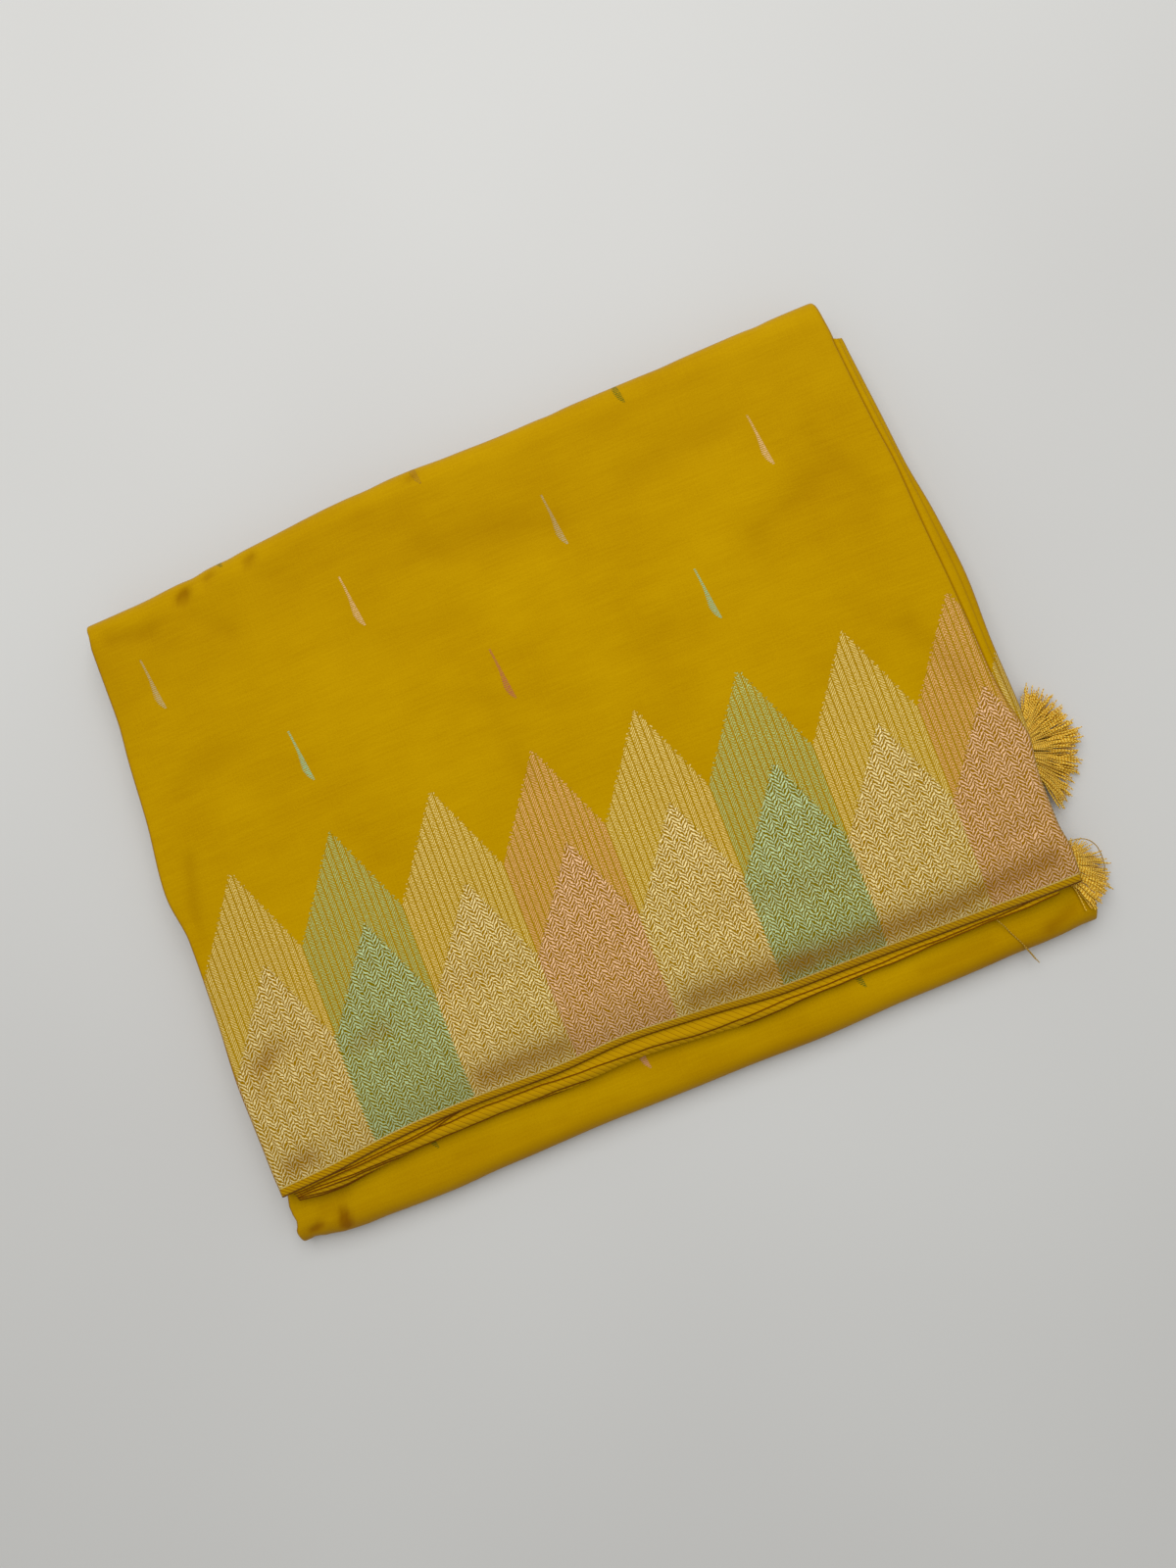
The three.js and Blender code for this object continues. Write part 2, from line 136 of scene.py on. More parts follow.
END_ROWS = (
    (-168, -216, 184, 189.1, -217.6, 191.2),
    (-159, -216, 184, 189.1, -219, 192.4),
    (-153.5, -216, 184, 189.1, -217.2, 192),
    (-147, -216, 184, 189.1, -218.2, 193.2),
    (-141, -216, 184, 189.1, -217.4, 193.6),
    (-132, -215.5, 184, 189.1, -214, 190),
    (-115, -215.3, 183.5, 188.8, -213.6, 187),
    (-101, -215.6, 182, 187, -214.8, 186),
    (-82, -216, 182, 187.1, -214, 185.6),
    (-48, -214.3, 183.5, 190.8, -213.6, 187.4),
    (-9, -213.4, 182.5, 189.8, -212, 188.6),
    (15, -216.4, 181.5, 190.3, -214.2, 188.2),
    (52, -212.5, 179.2, 187.3, -212, 185),
    (81, -210.5, 177.8, 183, -209, 182),
    (103, -208.5, 175.3, 181, -208, 179.6),
    (138, -208.2, 172.3, 177.5, -207, 175.8),
    (145.4, -207.1, 171.8, 176.8, -206, 175),
    (146.4, -207.2, 171.9, 172.3, -206, 171.6),
    (156, -207.5, 171, 171.3, -206.2, 170.7),
    (168, -207.3, 169.5, 169.8, -205.6, 169.4),
)
STRIP_CLEAR = 2.0       # the next ply starts to rise that far past the end of a strip
STRIPS = {
    "second_selvedge": {"column": "second", "number": 1, "left": -210, "right": -95},
    "third_selvedge": {"column": "third", "number": 2, "left": -210, "right": 177},
    "fourth_selvedge": {"column": "fourth", "number": 3, "left": -210, "right": 30},
}
SECOND_END = STRIPS["second_selvedge"]["right"] + STRIP_CLEAR
FOURTH_END = STRIPS["fourth_selvedge"]["right"] + STRIP_CLEAR


def columns(names, rows):
    """A table as one array for each named column."""
    return dict(zip(names, np.array(rows, float).T))


PLAN, ENDS = columns(PLAN_COLUMNS, PLAN_ROWS), columns(END_COLUMNS, END_ROWS)


def through(table, key, column, place):
    """Monotone cubic curve through a column of a table, at any place."""
    xs, ys, place = table[key], table[column], np.asarray(place, float)
    gaps, rises = np.diff(xs), np.diff(ys) / np.diff(xs)
    before, after = rises[:-1], rises[1:]
    together = before * after > 0
    harmonic = 2 * before * after / np.where(together, before + after, 1.0)
    slope = np.concatenate(([rises[0]], np.where(together, harmonic, 0.0), [rises[-1]]))
    row = np.clip(np.searchsorted(xs, place, side="right") - 1, 0, len(gaps) - 1)
    t = np.clip((place - xs[row]) / gaps[row], 0, 1)
    bend = gaps[row] * ((1 - t) * slope[row] - t * slope[row + 1])
    line = ys[row] + t * (ys[row + 1] - ys[row])
    return line + t * (1 - t) * (bend + (2 * t - 1) * (ys[row + 1] - ys[row]))


def plan(column, x):
    """Where an edge of the pile lies, front to back, at a place along the border."""
    return through(PLAN, "x", column, x)


def end(column, y):
    """Where an end of a ply lies, at a place from front to back."""
    return through(ENDS, "y", column, y)


print("at x = 0 the top stretch runs from y =", round(float(plan("top", 0)), 1),
      "to", round(float(plan("back", 0)), 1))

# %% [markdown]
# ## The way of the band
#
# The band goes over the top, round the back fold, under the pile, round the front fold, back
# above itself, round the inner fold, and forward again to end under the selvedges. Each run is
# a function that gives a place from three numbers: x along the border, the way along the run
# from 0 to 1, and the depth under its outer face. A pressed fold isn't round. Its sine and
# cosine are squared up with a power, which gives the outline known as a superellipse.

# %% The runs of the band
def mix(a, b, t):
    return a + (b - a) * t


def ease(t):
    t = np.clip(t, 0, 1)
    return t * t * (3 - 2 * t)


def top_height(x, y):
    """Height of the top ply: level, and sinking ever faster towards its selvedge."""
    near = np.clip(1 - (y - plan("top", x)) / DROP_LENGTH, 0, 1)
    return TOP - plan("drop", x) * near ** DROP_POWER


def past(place, x):
    """Share of the way past the end of a strip that the plies below take to rise into its place."""
    return ease((x - place) / STEP_IN)


def third_top(x, y):
    """Top of the third band, pressed thin under the selvedges that are there."""
    strips = SELVEDGES - past(SECOND_END, x) - past(FOURTH_END, x)
    return np.minimum(THIRD_TOP, top_height(x, y) - strips * PLY_STEP - SEAM)


def back_turn(x):
    return plan("back", x) - BACK_RADIUS


def front_turn(x):
    return plan("front", x) + FRONT_ROUND * FRONT_RADIUS


def pressed(angle):
    """Sine and cosine of a fold's turn, squared up as a pressed fold is."""
    sine, cosine = np.sin(angle), np.cos(angle)
    return np.sign(sine) * np.abs(sine) ** SQUARENESS, np.sign(cosine) * np.abs(cosine) ** SQUARENESS


def on_fold(y, z, radius, way):
    out, up = pressed(np.pi * way)
    return y + radius * out, z + radius * up


def run_top(x, way, depth):
    y = mix(plan("top", x), back_turn(x), way)
    return y, top_height(x, y) - depth


def run_back(x, way, depth):
    return on_fold(back_turn(x), BACK_RADIUS, BACK_RADIUS - depth, way)


def run_bottom(x, way, depth):
    return mix(back_turn(x), front_turn(x), way), depth + 0 * x


def run_front(x, way, depth):
    radius = FRONT_RADIUS - depth
    y = front_turn(x) - FRONT_ROUND * radius * np.sin(np.pi * way)
    return y, FRONT_RADIUS - radius * np.cos(np.pi * way)


def run_second(x, way, depth):
    return mix(front_turn(x), back_turn(x), way), 2 * FRONT_RADIUS - depth + 0 * x


def run_inner(x, way, depth):
    return on_fold(back_turn(x), 2 * FRONT_RADIUS + SEAM / 2, SEAM / 2 + depth, 1 - way)


def run_third(x, way, depth):
    return mix(back_turn(x), plan("top", x) + THIRD_SHORT, way), 2 * FRONT_RADIUS + SEAM + depth + 0 * x


RUNS = {
    "top": run_top,
    "back": run_back,
    "bottom": run_bottom,
    "front": run_front,
    "second": run_second,
    "inner": run_inner,
    "third": run_third,
}
RUN_LENGTH = float(back_turn(0.0) - front_turn(0.0))


def station_y(stations, x):
    """y of the outer face at each station, a run and the way along it, at one place on the border."""
    return np.array([RUNS[run](np.asarray(x), way, 0.0)[0] for run, way in stations])


def lay(stations, x, depth):
    """y and z of a grid of points whose rows lie at the stations."""
    rows = [RUNS[run](x[row], way, depth[row]) for row, (run, way) in enumerate(stations)]
    return np.array(rows).transpose(1, 0, 2)


print("one level of the band is", round(RUN_LENGTH), "mm deep")

# %% [markdown]
# ## Cloth coordinates
#
# A woven pattern belongs to the cloth and not to the room, so each ply gets a UV map in metres
# of cloth: u along the border, and v from the selvedge. Where the cloth bends, the map follows
# the length along its surface, and the pattern runs over folds as it was woven.
#
# The apexes of the spires lie on a slight bow, because nobody folds silk along a thread. The
# map takes that bow in, and evens out what is left over between the inner spires and the
# selvedge.

# %% Cloth coordinates
APEX_LINE = 15.6        # y of the outer spires' apexes at the ends of the bow
BOW = 2.3               # how far the middle of the line stands back
BOW_MIDDLE, BOW_HALF = 30.0, 190.0
OUTER_APEX = 149.0      # cloth from the selvedge to the apex of an outer spire
INNER_APEX = 102.7      # and to the apex of an inner one


def bow(x):
    return BOW * (1 - ((x - BOW_MIDDLE) / BOW_HALF) ** 2)


def cloth_v(x, y):
    """Cloth between the selvedge of the top stretch and a place on it, in mm."""
    x = np.clip(x, PLAN["x"][0], PLAN["x"][-1])
    v = y - APEX_LINE - bow(x) + OUTER_APEX
    edge = plan("top", x)
    edge_v = edge - APEX_LINE - bow(x) + OUTER_APEX
    share = np.clip((INNER_APEX - v) / (INNER_APEX - edge_v), 0, 1)
    return v - edge_v * share * share


def along_columns(x, z):
    """Length along each row of a grid, from the place where x is nought."""
    steps = np.hypot(np.diff(x, axis=1), np.diff(z, axis=1))
    length = np.concatenate((np.zeros((len(x), 1)), np.cumsum(steps, axis=1)), axis=1)
    middle = np.argmin(np.abs(x), axis=1)
    rows = np.arange(len(x))
    return length - (length[rows, middle] - x[rows, middle])[:, None]


def grid_mesh(name, points, uv, painted_shade=0.0, closed=False):
    """Object from a grid of points in mm, with its UV map in mm of cloth. A closed one is a tube.
    The attribute "pressed" carries painted shade: how far silk is darkened there, 1 on the line of a fold."""
    rows, across = points.shape[:2]
    index = np.arange(rows * across).reshape(rows, across)
    right = np.roll(index, -1, axis=1) if closed else index[:, 1:]
    left = index if closed else index[:, :-1]
    quads = np.stack((left[:-1], right[:-1], right[1:], left[1:]), axis=-1).reshape(-1, 4)
    faces = quads.tolist()
    if closed:
        faces += [index[0][::-1].tolist(), index[-1].tolist()]
    mesh = bpy.data.meshes.new(name)
    mesh.from_pydata((points.reshape(-1, 3) * MM).tolist(), [], faces)
    layer = mesh.uv_layers.new(name="Cloth")
    corners = np.empty(len(mesh.loops), dtype=np.int32)
    mesh.loops.foreach_get("vertex_index", corners)
    layer.data.foreach_set("uv", (uv.reshape(-1, 2)[corners] * MM).ravel())
    # Painted shade, stored for the material to darken the silk by.
    shade_layer = mesh.attributes.new("pressed", "FLOAT", "POINT")
    shade_layer.data.foreach_set("value", np.broadcast_to(painted_shade, (rows, across)).astype(np.float32).ravel())
    mesh.polygons.foreach_set("use_smooth", np.ones(len(mesh.polygons), dtype=bool))
    return new_object(name, mesh)


SILK = 0.4              # thickness of a ply as it is drawn; real silk is half of that


def thicken(piece, thickness=SILK):
    """Gives a ply its thickness, inwards from the face that shows."""
    wall = piece.modifiers.new("thickness", "SOLIDIFY")
    wall.thickness = thickness * MM
    wall.offset = -1
    wall.use_even_offset = False
    return piece


# %% [markdown]
# ## Creases
#
# Silk that has lain folded keeps soft troughs where the plies under it end, and pinches where
# its folds were pressed. A table holds them as strokes: from one point to another, with a
# width and a depth. Where the depth is negative, the cloth swells. A stroke fades at both ends,
# so none of them starts with a step. They are placed one by one rather than with noise, because a
# real crease has a cause and a place.

# %% Creases
CREASE_COLUMNS = ("x0", "y0", "x1", "y1", "width", "depth")
CREASES = columns(CREASE_COLUMNS, (
    (-206, 142, -172, 134, 6, 0.5),
    (-160, 144.5, -155, 148, 3.6, 1.1),
    (-145, 149.5, -141, 151.5, 3, 0.7),
    (-160, 140, -138, 118, 6, 0.3),
    (-124, 150, -119, 152.5, 3, 0.7),
    (-122, 148, -100, 126, 8, 0.25),
    (-38, 158, -33, 160, 3, 0.7),
    (-60, 128, 40, 112, 14, 0.45),
    (40, 118, 130, 132, 12, 0.4),
    (96, 70, 150, 92, 10, 0.4),
    (-110, 96, -20, 90, 16, 0.35),
    (-40, 60, -34, -10, 9, 0.35),
    (20, 40, 120, 60, 15, 0.3),
    (-200, 60, -150, 70, 10, 0.35),
    (-212, -20, -196, 40, 5, 0.5),
    (-212, -96, -190, -60, 6, 0.4),
    (-208, 90, -196, 128, 5, -0.3),
    (-120, -70, -60, -76, 8, 0.3),
    (10, -84, 110, -92, 9, 0.3),
    (-218, -126, -190, -124, 6.5, 0.7),
    (-214, -77, -176, -70, 5.5, 0.38),
    (-160, -84, -136, -79, 6, 0.5),
    (-118, -118, -52, -117.5, 8.5, 0.75),
    (-14, -118, 60, -120.5, 9, 0.75),
    (34, -120.5, 156, -120, 8.5, 0.78),
    (132, -119, 192, -115.5, 7, 0.72),
    (150, -102, 186, -96, 5, 0.35),
    (150, 20, 180, -40, 7, 0.4),
    (140, 120, 170, 60, 8, 0.35),
    (-160, 20, -90, 30, 13, -0.35),
    (60, 0, 140, 14, 12, -0.3),
))
FRONT_CREASES = columns(CREASE_COLUMNS, (
    (-195, -165, -193.5, -156, 3.4, 1.2),
    (-212, -160, -206, -158, 3, 0.8),
    (-206, -152, -186, -147, 5, 0.5),
    (-150, -150, -60, -152, 4, 0.35),
    (-20, -149, 60, -147, 5, 0.3),
    (96, -147, 150, -143, 5, 0.45),
    (165, -150, 186, -141, 5, 0.6),
))
BACK_PINCHES = columns(("x", "width", "depth"), (
    (-176, 9, 0.3),
    (-151, 5, 0.7),
    (-132, 5, 0.4),
    (-58, 7, 0.4),
    (-20, 9, 0.3),
    (36, 6, 0.4),
    (92, 8, 0.3),
    (141, 5, 0.4),
))


STROKE_FULL = 0.3       # share of a stroke, either side of its middle, that is fully deep


def crease_depth(table, x, y):
    """How deep the creases of a table lie under the smooth form of the cloth."""
    depth = np.zeros(np.broadcast(x, y).shape)
    for x0, y0, x1, y1, width, deep in zip(*(table[name] for name in CREASE_COLUMNS)):
        length = np.hypot(x1 - x0, y1 - y0)
        ahead = ((x - x0) * (x1 - x0) + (y - y0) * (y1 - y0)) / length ** 2
        aside = ((y - y0) * (x1 - x0) - (x - x0) * (y1 - y0)) / length
        past_end = np.maximum(np.abs(ahead - 0.5) - STROKE_FULL, 0) * length / width
        depth += deep * np.exp(-past_end ** 2 - (aside / width) ** 2)
    return depth


HOLLOW_DEPTH, HOLLOW_SHADE = 0.7, 0.6   # a hollow that deep gets that much painted shade
HOLLOW_MOST = 1.25      # the deepest that counts, in such depths


def hollow_shade(sunk):
    """Painted shade in a hollow: the attribute "pressed" for a depth."""
    return HOLLOW_SHADE * np.clip(sunk / HOLLOW_DEPTH, 0, HOLLOW_MOST) ** 2


def dents(table, x):
    """How far a fold is pushed in at a place along it."""
    rows = zip(table["x"], table["width"], table["depth"])
    return sum(deep * np.exp(-((x - place) / width) ** 2) for place, width, deep in rows)


# %% [markdown]
# ## Top stretch
#
# The top stretch is one grid. Its rows run from the selvedge over the top and round the back
# fold. Its columns run round the left fold, over the flat, and down the sloping strip at the
# right, where the edge of the ply below stands out. Solidify makes the grid a thin shell, with
# its outer face on the form of the solid.

# %% Top stretch
TOP_ROWS, BACK_ROWS = 150, 24
STEP_WAYS = (0.9668, 0.9705)    # two more rows, where the right end steps in before the back fold
TOP_WAYS = np.sort(np.append(np.linspace(0, 1, TOP_ROWS, endpoint=False), STEP_WAYS))
BACK_WAYS = np.linspace(0, 1, BACK_ROWS)
TOP_ENDS = (-212.0, 183.0)      # the places along the border where its two ends are read
CORNER_THIN = 0.5       # how much thinner the folds at its ends are where they go round the back
FLAT_COLUMNS = 165
FOLD_STEPS = 13
RUN_OUT_FROM, RUN_OUT = -23.0, 36.0     # y where the right fold starts to cover the ply below, and over what
EDGE_SHOWS = 0.8        # how much of the ply below still shows beyond it
STRIP_FULL = 6.0        # width of the strip from which its points are moved in full
FLAT_CLEAR, FLAT_FADE = 1.0, 8.0    # creases start that far in from the folds, and grow over that
NEXT_PLY_SHIFT = 15.3   # how much further on the border stands in the ply below
FOLD_SHADE = 0.5        # depth round an end fold at which its painted shade is full
BACK_SHADE, BACK_SHADE_DEPTH = 0.16, 60.0   # painted shade: the last stretch before the back fold is a little darker
BACK_LINE, BACK_LINE_FADE = 0.9, 0.5    # share of its radius below which a fold gets painted shade, and over what it grows
# The right side, from the flat to the underside of the fold: the place for the width of the
# strip, a move beyond it, the depth as a share of the height of the fold, and its painted shade.
RIGHT_SIDE = (
    (0, -2.6, 0.0, 0),
    (0, -1.5, 0.012, 0),
    (0, -0.8, 0.04, 0),
    (0, -0.3, 0.1, 0.6),
    (0, 0.0, 0.2, 1),
    (0, 0.1, 0.28, 1),
    (0, 0.4, 0.28, 0.7),
    (0, 1.1, 0.25, 0),
    (0.3, 0, 0.24, 0.1),
    (0.42, 0, 0.255, 0.15),
    (0.5, 0, 0.29, 0.3),
    (0.54, 0, 0.34, 0.6),
    (0.6, 0, 0.36, 0.25),
    (0.75, -0.1, 0.4, 0.2),
    (0.9, -0.2, 0.46, 0.3),
    (1, -0.3, 0.58, 0.8),
    (1, 0, 0.7, 1),
    (1, -0.1, 0.82, 1),
    (1, -0.7, 0.92, 1),
    (1, -1.7, 0.98, 1),
    (1, -3.2, 1.0, 1),
)
NEXT_PLY_FROM = 5       # the first of those rows that lies on the ply below


def panel_edge(y):
    """Right fold of the outermost ply, which runs out over the ply below it towards the front."""
    covered = np.clip((RUN_OUT_FROM - y) / RUN_OUT, 0, 1) ** 2
    return mix(end("crease", y), end("right", y) - EDGE_SHOWS, covered)


def left_fold(x, height, count):
    """Points round a fold at the left end of a ply, from underneath: x and depth."""
    out, up = pressed(np.linspace(np.pi, 0, count))
    half = height[:, None] / 2
    return x[:, None] + half * (1 - out), half * (1 - up)


def top_stretch():
    """The outermost ply, from its selvedge over the top and round the back."""
    stations = [("top", t) for t in TOP_WAYS] + [("back", t) for t in BACK_WAYS]
    stations += [("bottom", TURN_UNDER / RUN_LENGTH)]
    y_left, y_right = (station_y(stations, x) for x in TOP_ENDS)
    left_x, crease_x, right_x = end("left", y_left), panel_edge(y_right), end("right", y_right)
    round_back = np.array([way if run == "back" else float(run == "bottom") for run, way in stations])
    out, up = pressed(np.pi * round_back)
    thinner = 1 - CORNER_THIN * np.maximum(out, 0)
    left_high = (top_height(left_x, y_left) - third_top(left_x, y_left) - SEAM) * thinner
    right_high = np.minimum(BAND, top_height(right_x, y_right) - 2 * FRONT_RADIUS - TASSEL_GAP) * thinner
    fold_x, fold_depth = left_fold(left_x, left_high, FOLD_STEPS)
    share, move, deep, side_shade = np.array(RIGHT_SIDE).T
    room = np.clip((right_x - crease_x) / STRIP_FULL, 0, 1)[:, None]
    side_x = mix(crease_x[:, None], right_x[:, None], share) + move * np.where(move > 0, room, 1)
    side_depth = deep * right_high[:, None]
    t = np.linspace(0, 1, FLAT_COLUMNS + 2)[1:-1]
    flat_x = mix(fold_x[:, -1:], side_x[:, :1], t)
    x = np.hstack((fold_x, flat_x, side_x))
    depth = np.hstack((fold_depth, 0 * flat_x, side_depth))
    y, z = lay(stations, x, depth)
    from_left, from_right = x - left_x[:, None], crease_x[:, None] - x
    onto_flat = ease((from_left - FLAT_CLEAR) / FLAT_FADE) * ease((from_right - FLAT_CLEAR) / FLAT_FADE)
    sunk = crease_depth(CREASES, x, y) * onto_flat * (np.maximum(up, 0) ** 3)[:, None]
    z -= sunk
    y -= dents(BACK_PINCHES, x) * np.maximum(out, 0)[:, None]
    v = cloth_v(x, y)
    first = len(TOP_WAYS)
    steps = np.hypot(np.diff(y, axis=0), np.diff(z, axis=0))[first - 1:]
    v[first:] = v[first - 1] + np.cumsum(steps, axis=0)
    u = along_columns(x, z)
    u[:, len(fold_x[0]) + FLAT_COLUMNS + NEXT_PLY_FROM:] += NEXT_PLY_SHIFT
    # Painted shade: the folds at the ends, the crease at the right, the lower back fold, the last stretch
    # before it and the hollows of the creases are darkened.
    shade = np.hstack((ease(fold_depth / FOLD_SHADE), 0 * flat_x, side_shade + 0 * side_depth))
    near_back = ease(1 - (back_turn(x) - y) / BACK_SHADE_DEPTH) * (round_back == 0)[:, None]
    shade = np.maximum(shade, ease((BACK_LINE - up) / BACK_LINE_FADE)[:, None])
    shade = np.maximum(shade, BACK_SHADE * near_back) + hollow_shade(sunk)
    return grid_mesh("top_stretch_silk", np.stack((x, y, z), axis=-1), np.stack((u, v), axis=-1), shade)


top = thicken(top_stretch())
print(top.name, "has", len(top.data.polygons), "faces before its thickness")

# %% [markdown]
# ## Selvedges
#
# Under the front edge of the top stretch the selvedges of the next plies show, like the pages
# of a book. Each is a narrow strip. Its edge wanders a little, and where two plies were folded
# together there is a second edge just under the first. Only a few millimetres of each show, so
# the strips end a little way under the cloth above.

# %% Selvedges
STRIP_STEP = 1.6        # spacing of a strip's points along the border
STRIP_ROWS = np.array([-TURN_UNDER, -TURN_UNDER / 2, -3, 0, 1.5, 3, 5, 8, 12])  # from the edge above
ROW_CLEAR = 0.3         # the least distance between two rows
STRIP_SILK = 0.3        # thickness of a strip
STRIP_TURN = 1.7        # how far the wander of one strip's edge is from the next one's
EDGE_LIFT, LIFT_WAVE, LIFT_FADE = 0.12, 17.0, 4.0   # an edge curls: how high, how often, how far in
# The plies of each strip: how far each stands out in front of the strip's edge at the left end
# of the pile, in the middle and at the right end, and how deep it lies.
STRIP_PLIES = {
    "second_selvedge": ((0, 0, 0, 0), (-1.6, -0.4, -0.4, -0.45)),
    "third_selvedge": ((0, 0, 0, 0), (1.1, 1.2, -3, 0.5), (-7, -5, -1.5, -0.45)),
    "fourth_selvedge": ((0, 0, 0, 0), (0.9, 1.0, 0.6, 0.5)),
}
PLY_PLACES = (-210.0, -60.0, 110.0)
EDGE_WAVES = ((67.0, 0.22, 0.4), (31.0, 0.14, 2.1), (13.7, 0.06, 4.0))


def edge_wave(x, turn):
    """Small wander of a woven edge along the border."""
    return sum(size * np.sin(2 * np.pi * x / length + phase + turn) for length, size, phase in EDGE_WAVES)


def selvedge_ply(name, strip, ply, turn):
    """One ply whose woven edge shows under the top stretch."""
    count = int((strip["right"] - strip["left"]) / STRIP_STEP)
    x_row = np.linspace(strip["left"], strip["right"], count)
    ahead = np.interp(x_row, PLY_PLACES, ply[:3])
    front = plan(strip["column"], x_row) - ahead + edge_wave(x_row, turn)
    least = front + ROW_CLEAR * np.arange(len(STRIP_ROWS))[:, None]
    base = np.maximum(least, plan("top", x_row) + STRIP_ROWS[:, None])
    below = strip["number"] - (past(SECOND_END, x_row) if strip["number"] > 1 else 0)
    x = np.broadcast_to(x_row, base.shape)
    lift = EDGE_LIFT * np.sin(x / LIFT_WAVE + 2 * turn) * np.exp(-np.abs(base - front) / LIFT_FADE)
    z = top_height(x, base) - below * PLY_STEP - SEAM - ply[3] + lift
    uv = np.stack((x, base - front), axis=-1)
    return thicken(grid_mesh(name, np.stack((x, base, z), axis=-1), uv), STRIP_SILK)


selvedges = {}
for turn, (node, strip) in enumerate(STRIPS.items()):
    for number, ply in enumerate(STRIP_PLIES[node]):
        name = f"{node}_silk" if number == 0 else f"{node}_ply_{number + 1}"
        selvedges[name] = (node, selvedge_ply(name, strip, ply, STRIP_TURN * turn + number))
print("selvedge plies:", ", ".join(selvedges))

# %% [markdown]
# ## Front fold
#
# In front, under the selvedges, the outermost ply of the lower bands turns round the pile. It
# is a wall with a fold at each end, like the top stretch, and its section is flatter than half
# a circle because twelve millimetres of silk have been pressed there.

# %% Front fold
FRONT_ROWS = 26
FRONT_ENDS = (-212.0, 188.0)    # the places along the border where its two ends are read
TAIL_WAYS = (0.3, 0.7, 1.2, 1.9, 2.6)   # its last rows, in lengths that a ply turns under
FRONT_DENTS = columns(("x", "width", "depth"), (
    (-211.5, 2.4, 0.8),
    (-204, 4, 0.4),
    (-193, 5, 0.3),
    (-176, 9, 0.3),
    (-120, 14, 0.35),
    (-60, 18, 0.3),
    (20, 20, 0.35),
    (92, 15, 0.3),
    (150, 10, 0.4),
    (184, 5, 0.3),
))
CORNER_PINCH = 4.2      # how much thinner the fold is at its corners than its band
UNDER_SHADE = 0.75      # painted shade on its lower half, which turns away from the light: how far it goes to that colour
UNDER_FROM, UNDER_FADE = 0.12, 0.42     # where on the turn that starts, and over how much of it
FRONT_SHADE_DEPTH = 15.0     # and how far in from the edge it reaches on top
FRONT_SHADE_WAVE, FRONT_SHADE_LENGTH, FRONT_SHADE_POWER = 0.15, 19.0, 1.3  # how it varies along the edge, and fades
BUTTA_ROW = 187.3       # v of a row of woven buttas
FRONT_BUTTA_Y = -130.5  # y of that row on the front fold
FRONT_U = (142, 0.945, -131.9)  # u on the front fold: (x + first) * second + third


def front_fold():
    """The ply that turns round the front of the pile."""
    stations = [("bottom", 1 - TURN_UNDER / RUN_LENGTH)]
    stations += [("front", t) for t in np.linspace(0, 1, FRONT_ROWS)]
    stations += [("second", t * TURN_UNDER / RUN_LENGTH) for t in TAIL_WAYS]
    y_left, y_right = (station_y(stations, x) for x in FRONT_ENDS)
    turn = np.array([np.sin(np.pi * way) if run == "front" else 0.0 for run, way in stations])
    high = BAND - CORNER_PINCH * turn ** 2
    left_x, left_depth = left_fold(end("lowLeft", y_left), high, FOLD_STEPS)
    right_x, right_depth = left_fold(-end("lowRight", y_right), high, FOLD_STEPS)
    right_x, right_depth = -right_x[:, ::-1], right_depth[:, ::-1]
    t = np.linspace(0, 1, FLAT_COLUMNS + 2)[1:-1]
    flat_x = mix(left_x[:, -1:], right_x[:, :1], t)
    x = np.hstack((left_x, flat_x, right_x))
    depth = np.hstack((left_depth, 0 * flat_x, right_depth))
    y, z = lay(stations, x, depth)
    on_top = np.array([float(run == "second" or (run == "front" and way > 0.5)) for run, way in stations])
    sunk = crease_depth(FRONT_CREASES, x, y) * (on_top * (1 - turn ** 6))[:, None]
    z -= sunk
    y += dents(FRONT_DENTS, x) * turn[:, None]
    steps = np.hypot(np.diff(y, axis=0), np.diff(z, axis=0))
    v = np.concatenate((np.zeros((1, x.shape[1])), np.cumsum(steps, axis=0)))
    v += BUTTA_ROW + y[-1] - FRONT_BUTTA_Y - v[-1]
    shift, scale, start = FRONT_U
    uv = np.stack(((along_columns(x, z) + shift) * scale + start, v), axis=-1)
    # Painted shade: the folds at the ends, the lower half of the turn, the top near its edge and the hollows
    # of the creases are darkened.
    shade = np.hstack((ease(left_depth / FOLD_SHADE), 0 * flat_x, ease(right_depth / FOLD_SHADE)))
    below = np.array([float(run != "second") * (1 - way * (run == "front")) for run, way in stations])
    shade = np.maximum(shade, UNDER_SHADE * ease((below[:, None] - UNDER_FROM) / UNDER_FADE))
    near_edge = np.clip(1 - (y - plan("front", x)) / FRONT_SHADE_DEPTH, 0, 1)
    near_edge *= 1 - FRONT_SHADE_WAVE * (1 - np.sin(x / FRONT_SHADE_LENGTH))
    shade = np.maximum(shade, UNDER_SHADE * near_edge ** FRONT_SHADE_POWER) + hollow_shade(sunk)
    return grid_mesh("front_fold_silk", np.stack((x, y, z), axis=-1), uv, shade)


front = thicken(front_fold())

# %% [markdown]
# ## Inner layers
#
# The plies out of sight are one folded band. What shows of them is their ends, at the left and
# right sides of the pile, where each pair of plies turns round in a small fold of its own. So
# the band's section has level faces and lobed ends, and each lobe wanders in and out along the
# way. The section is a closed loop and the band a tube of such loops, capped at both ends.

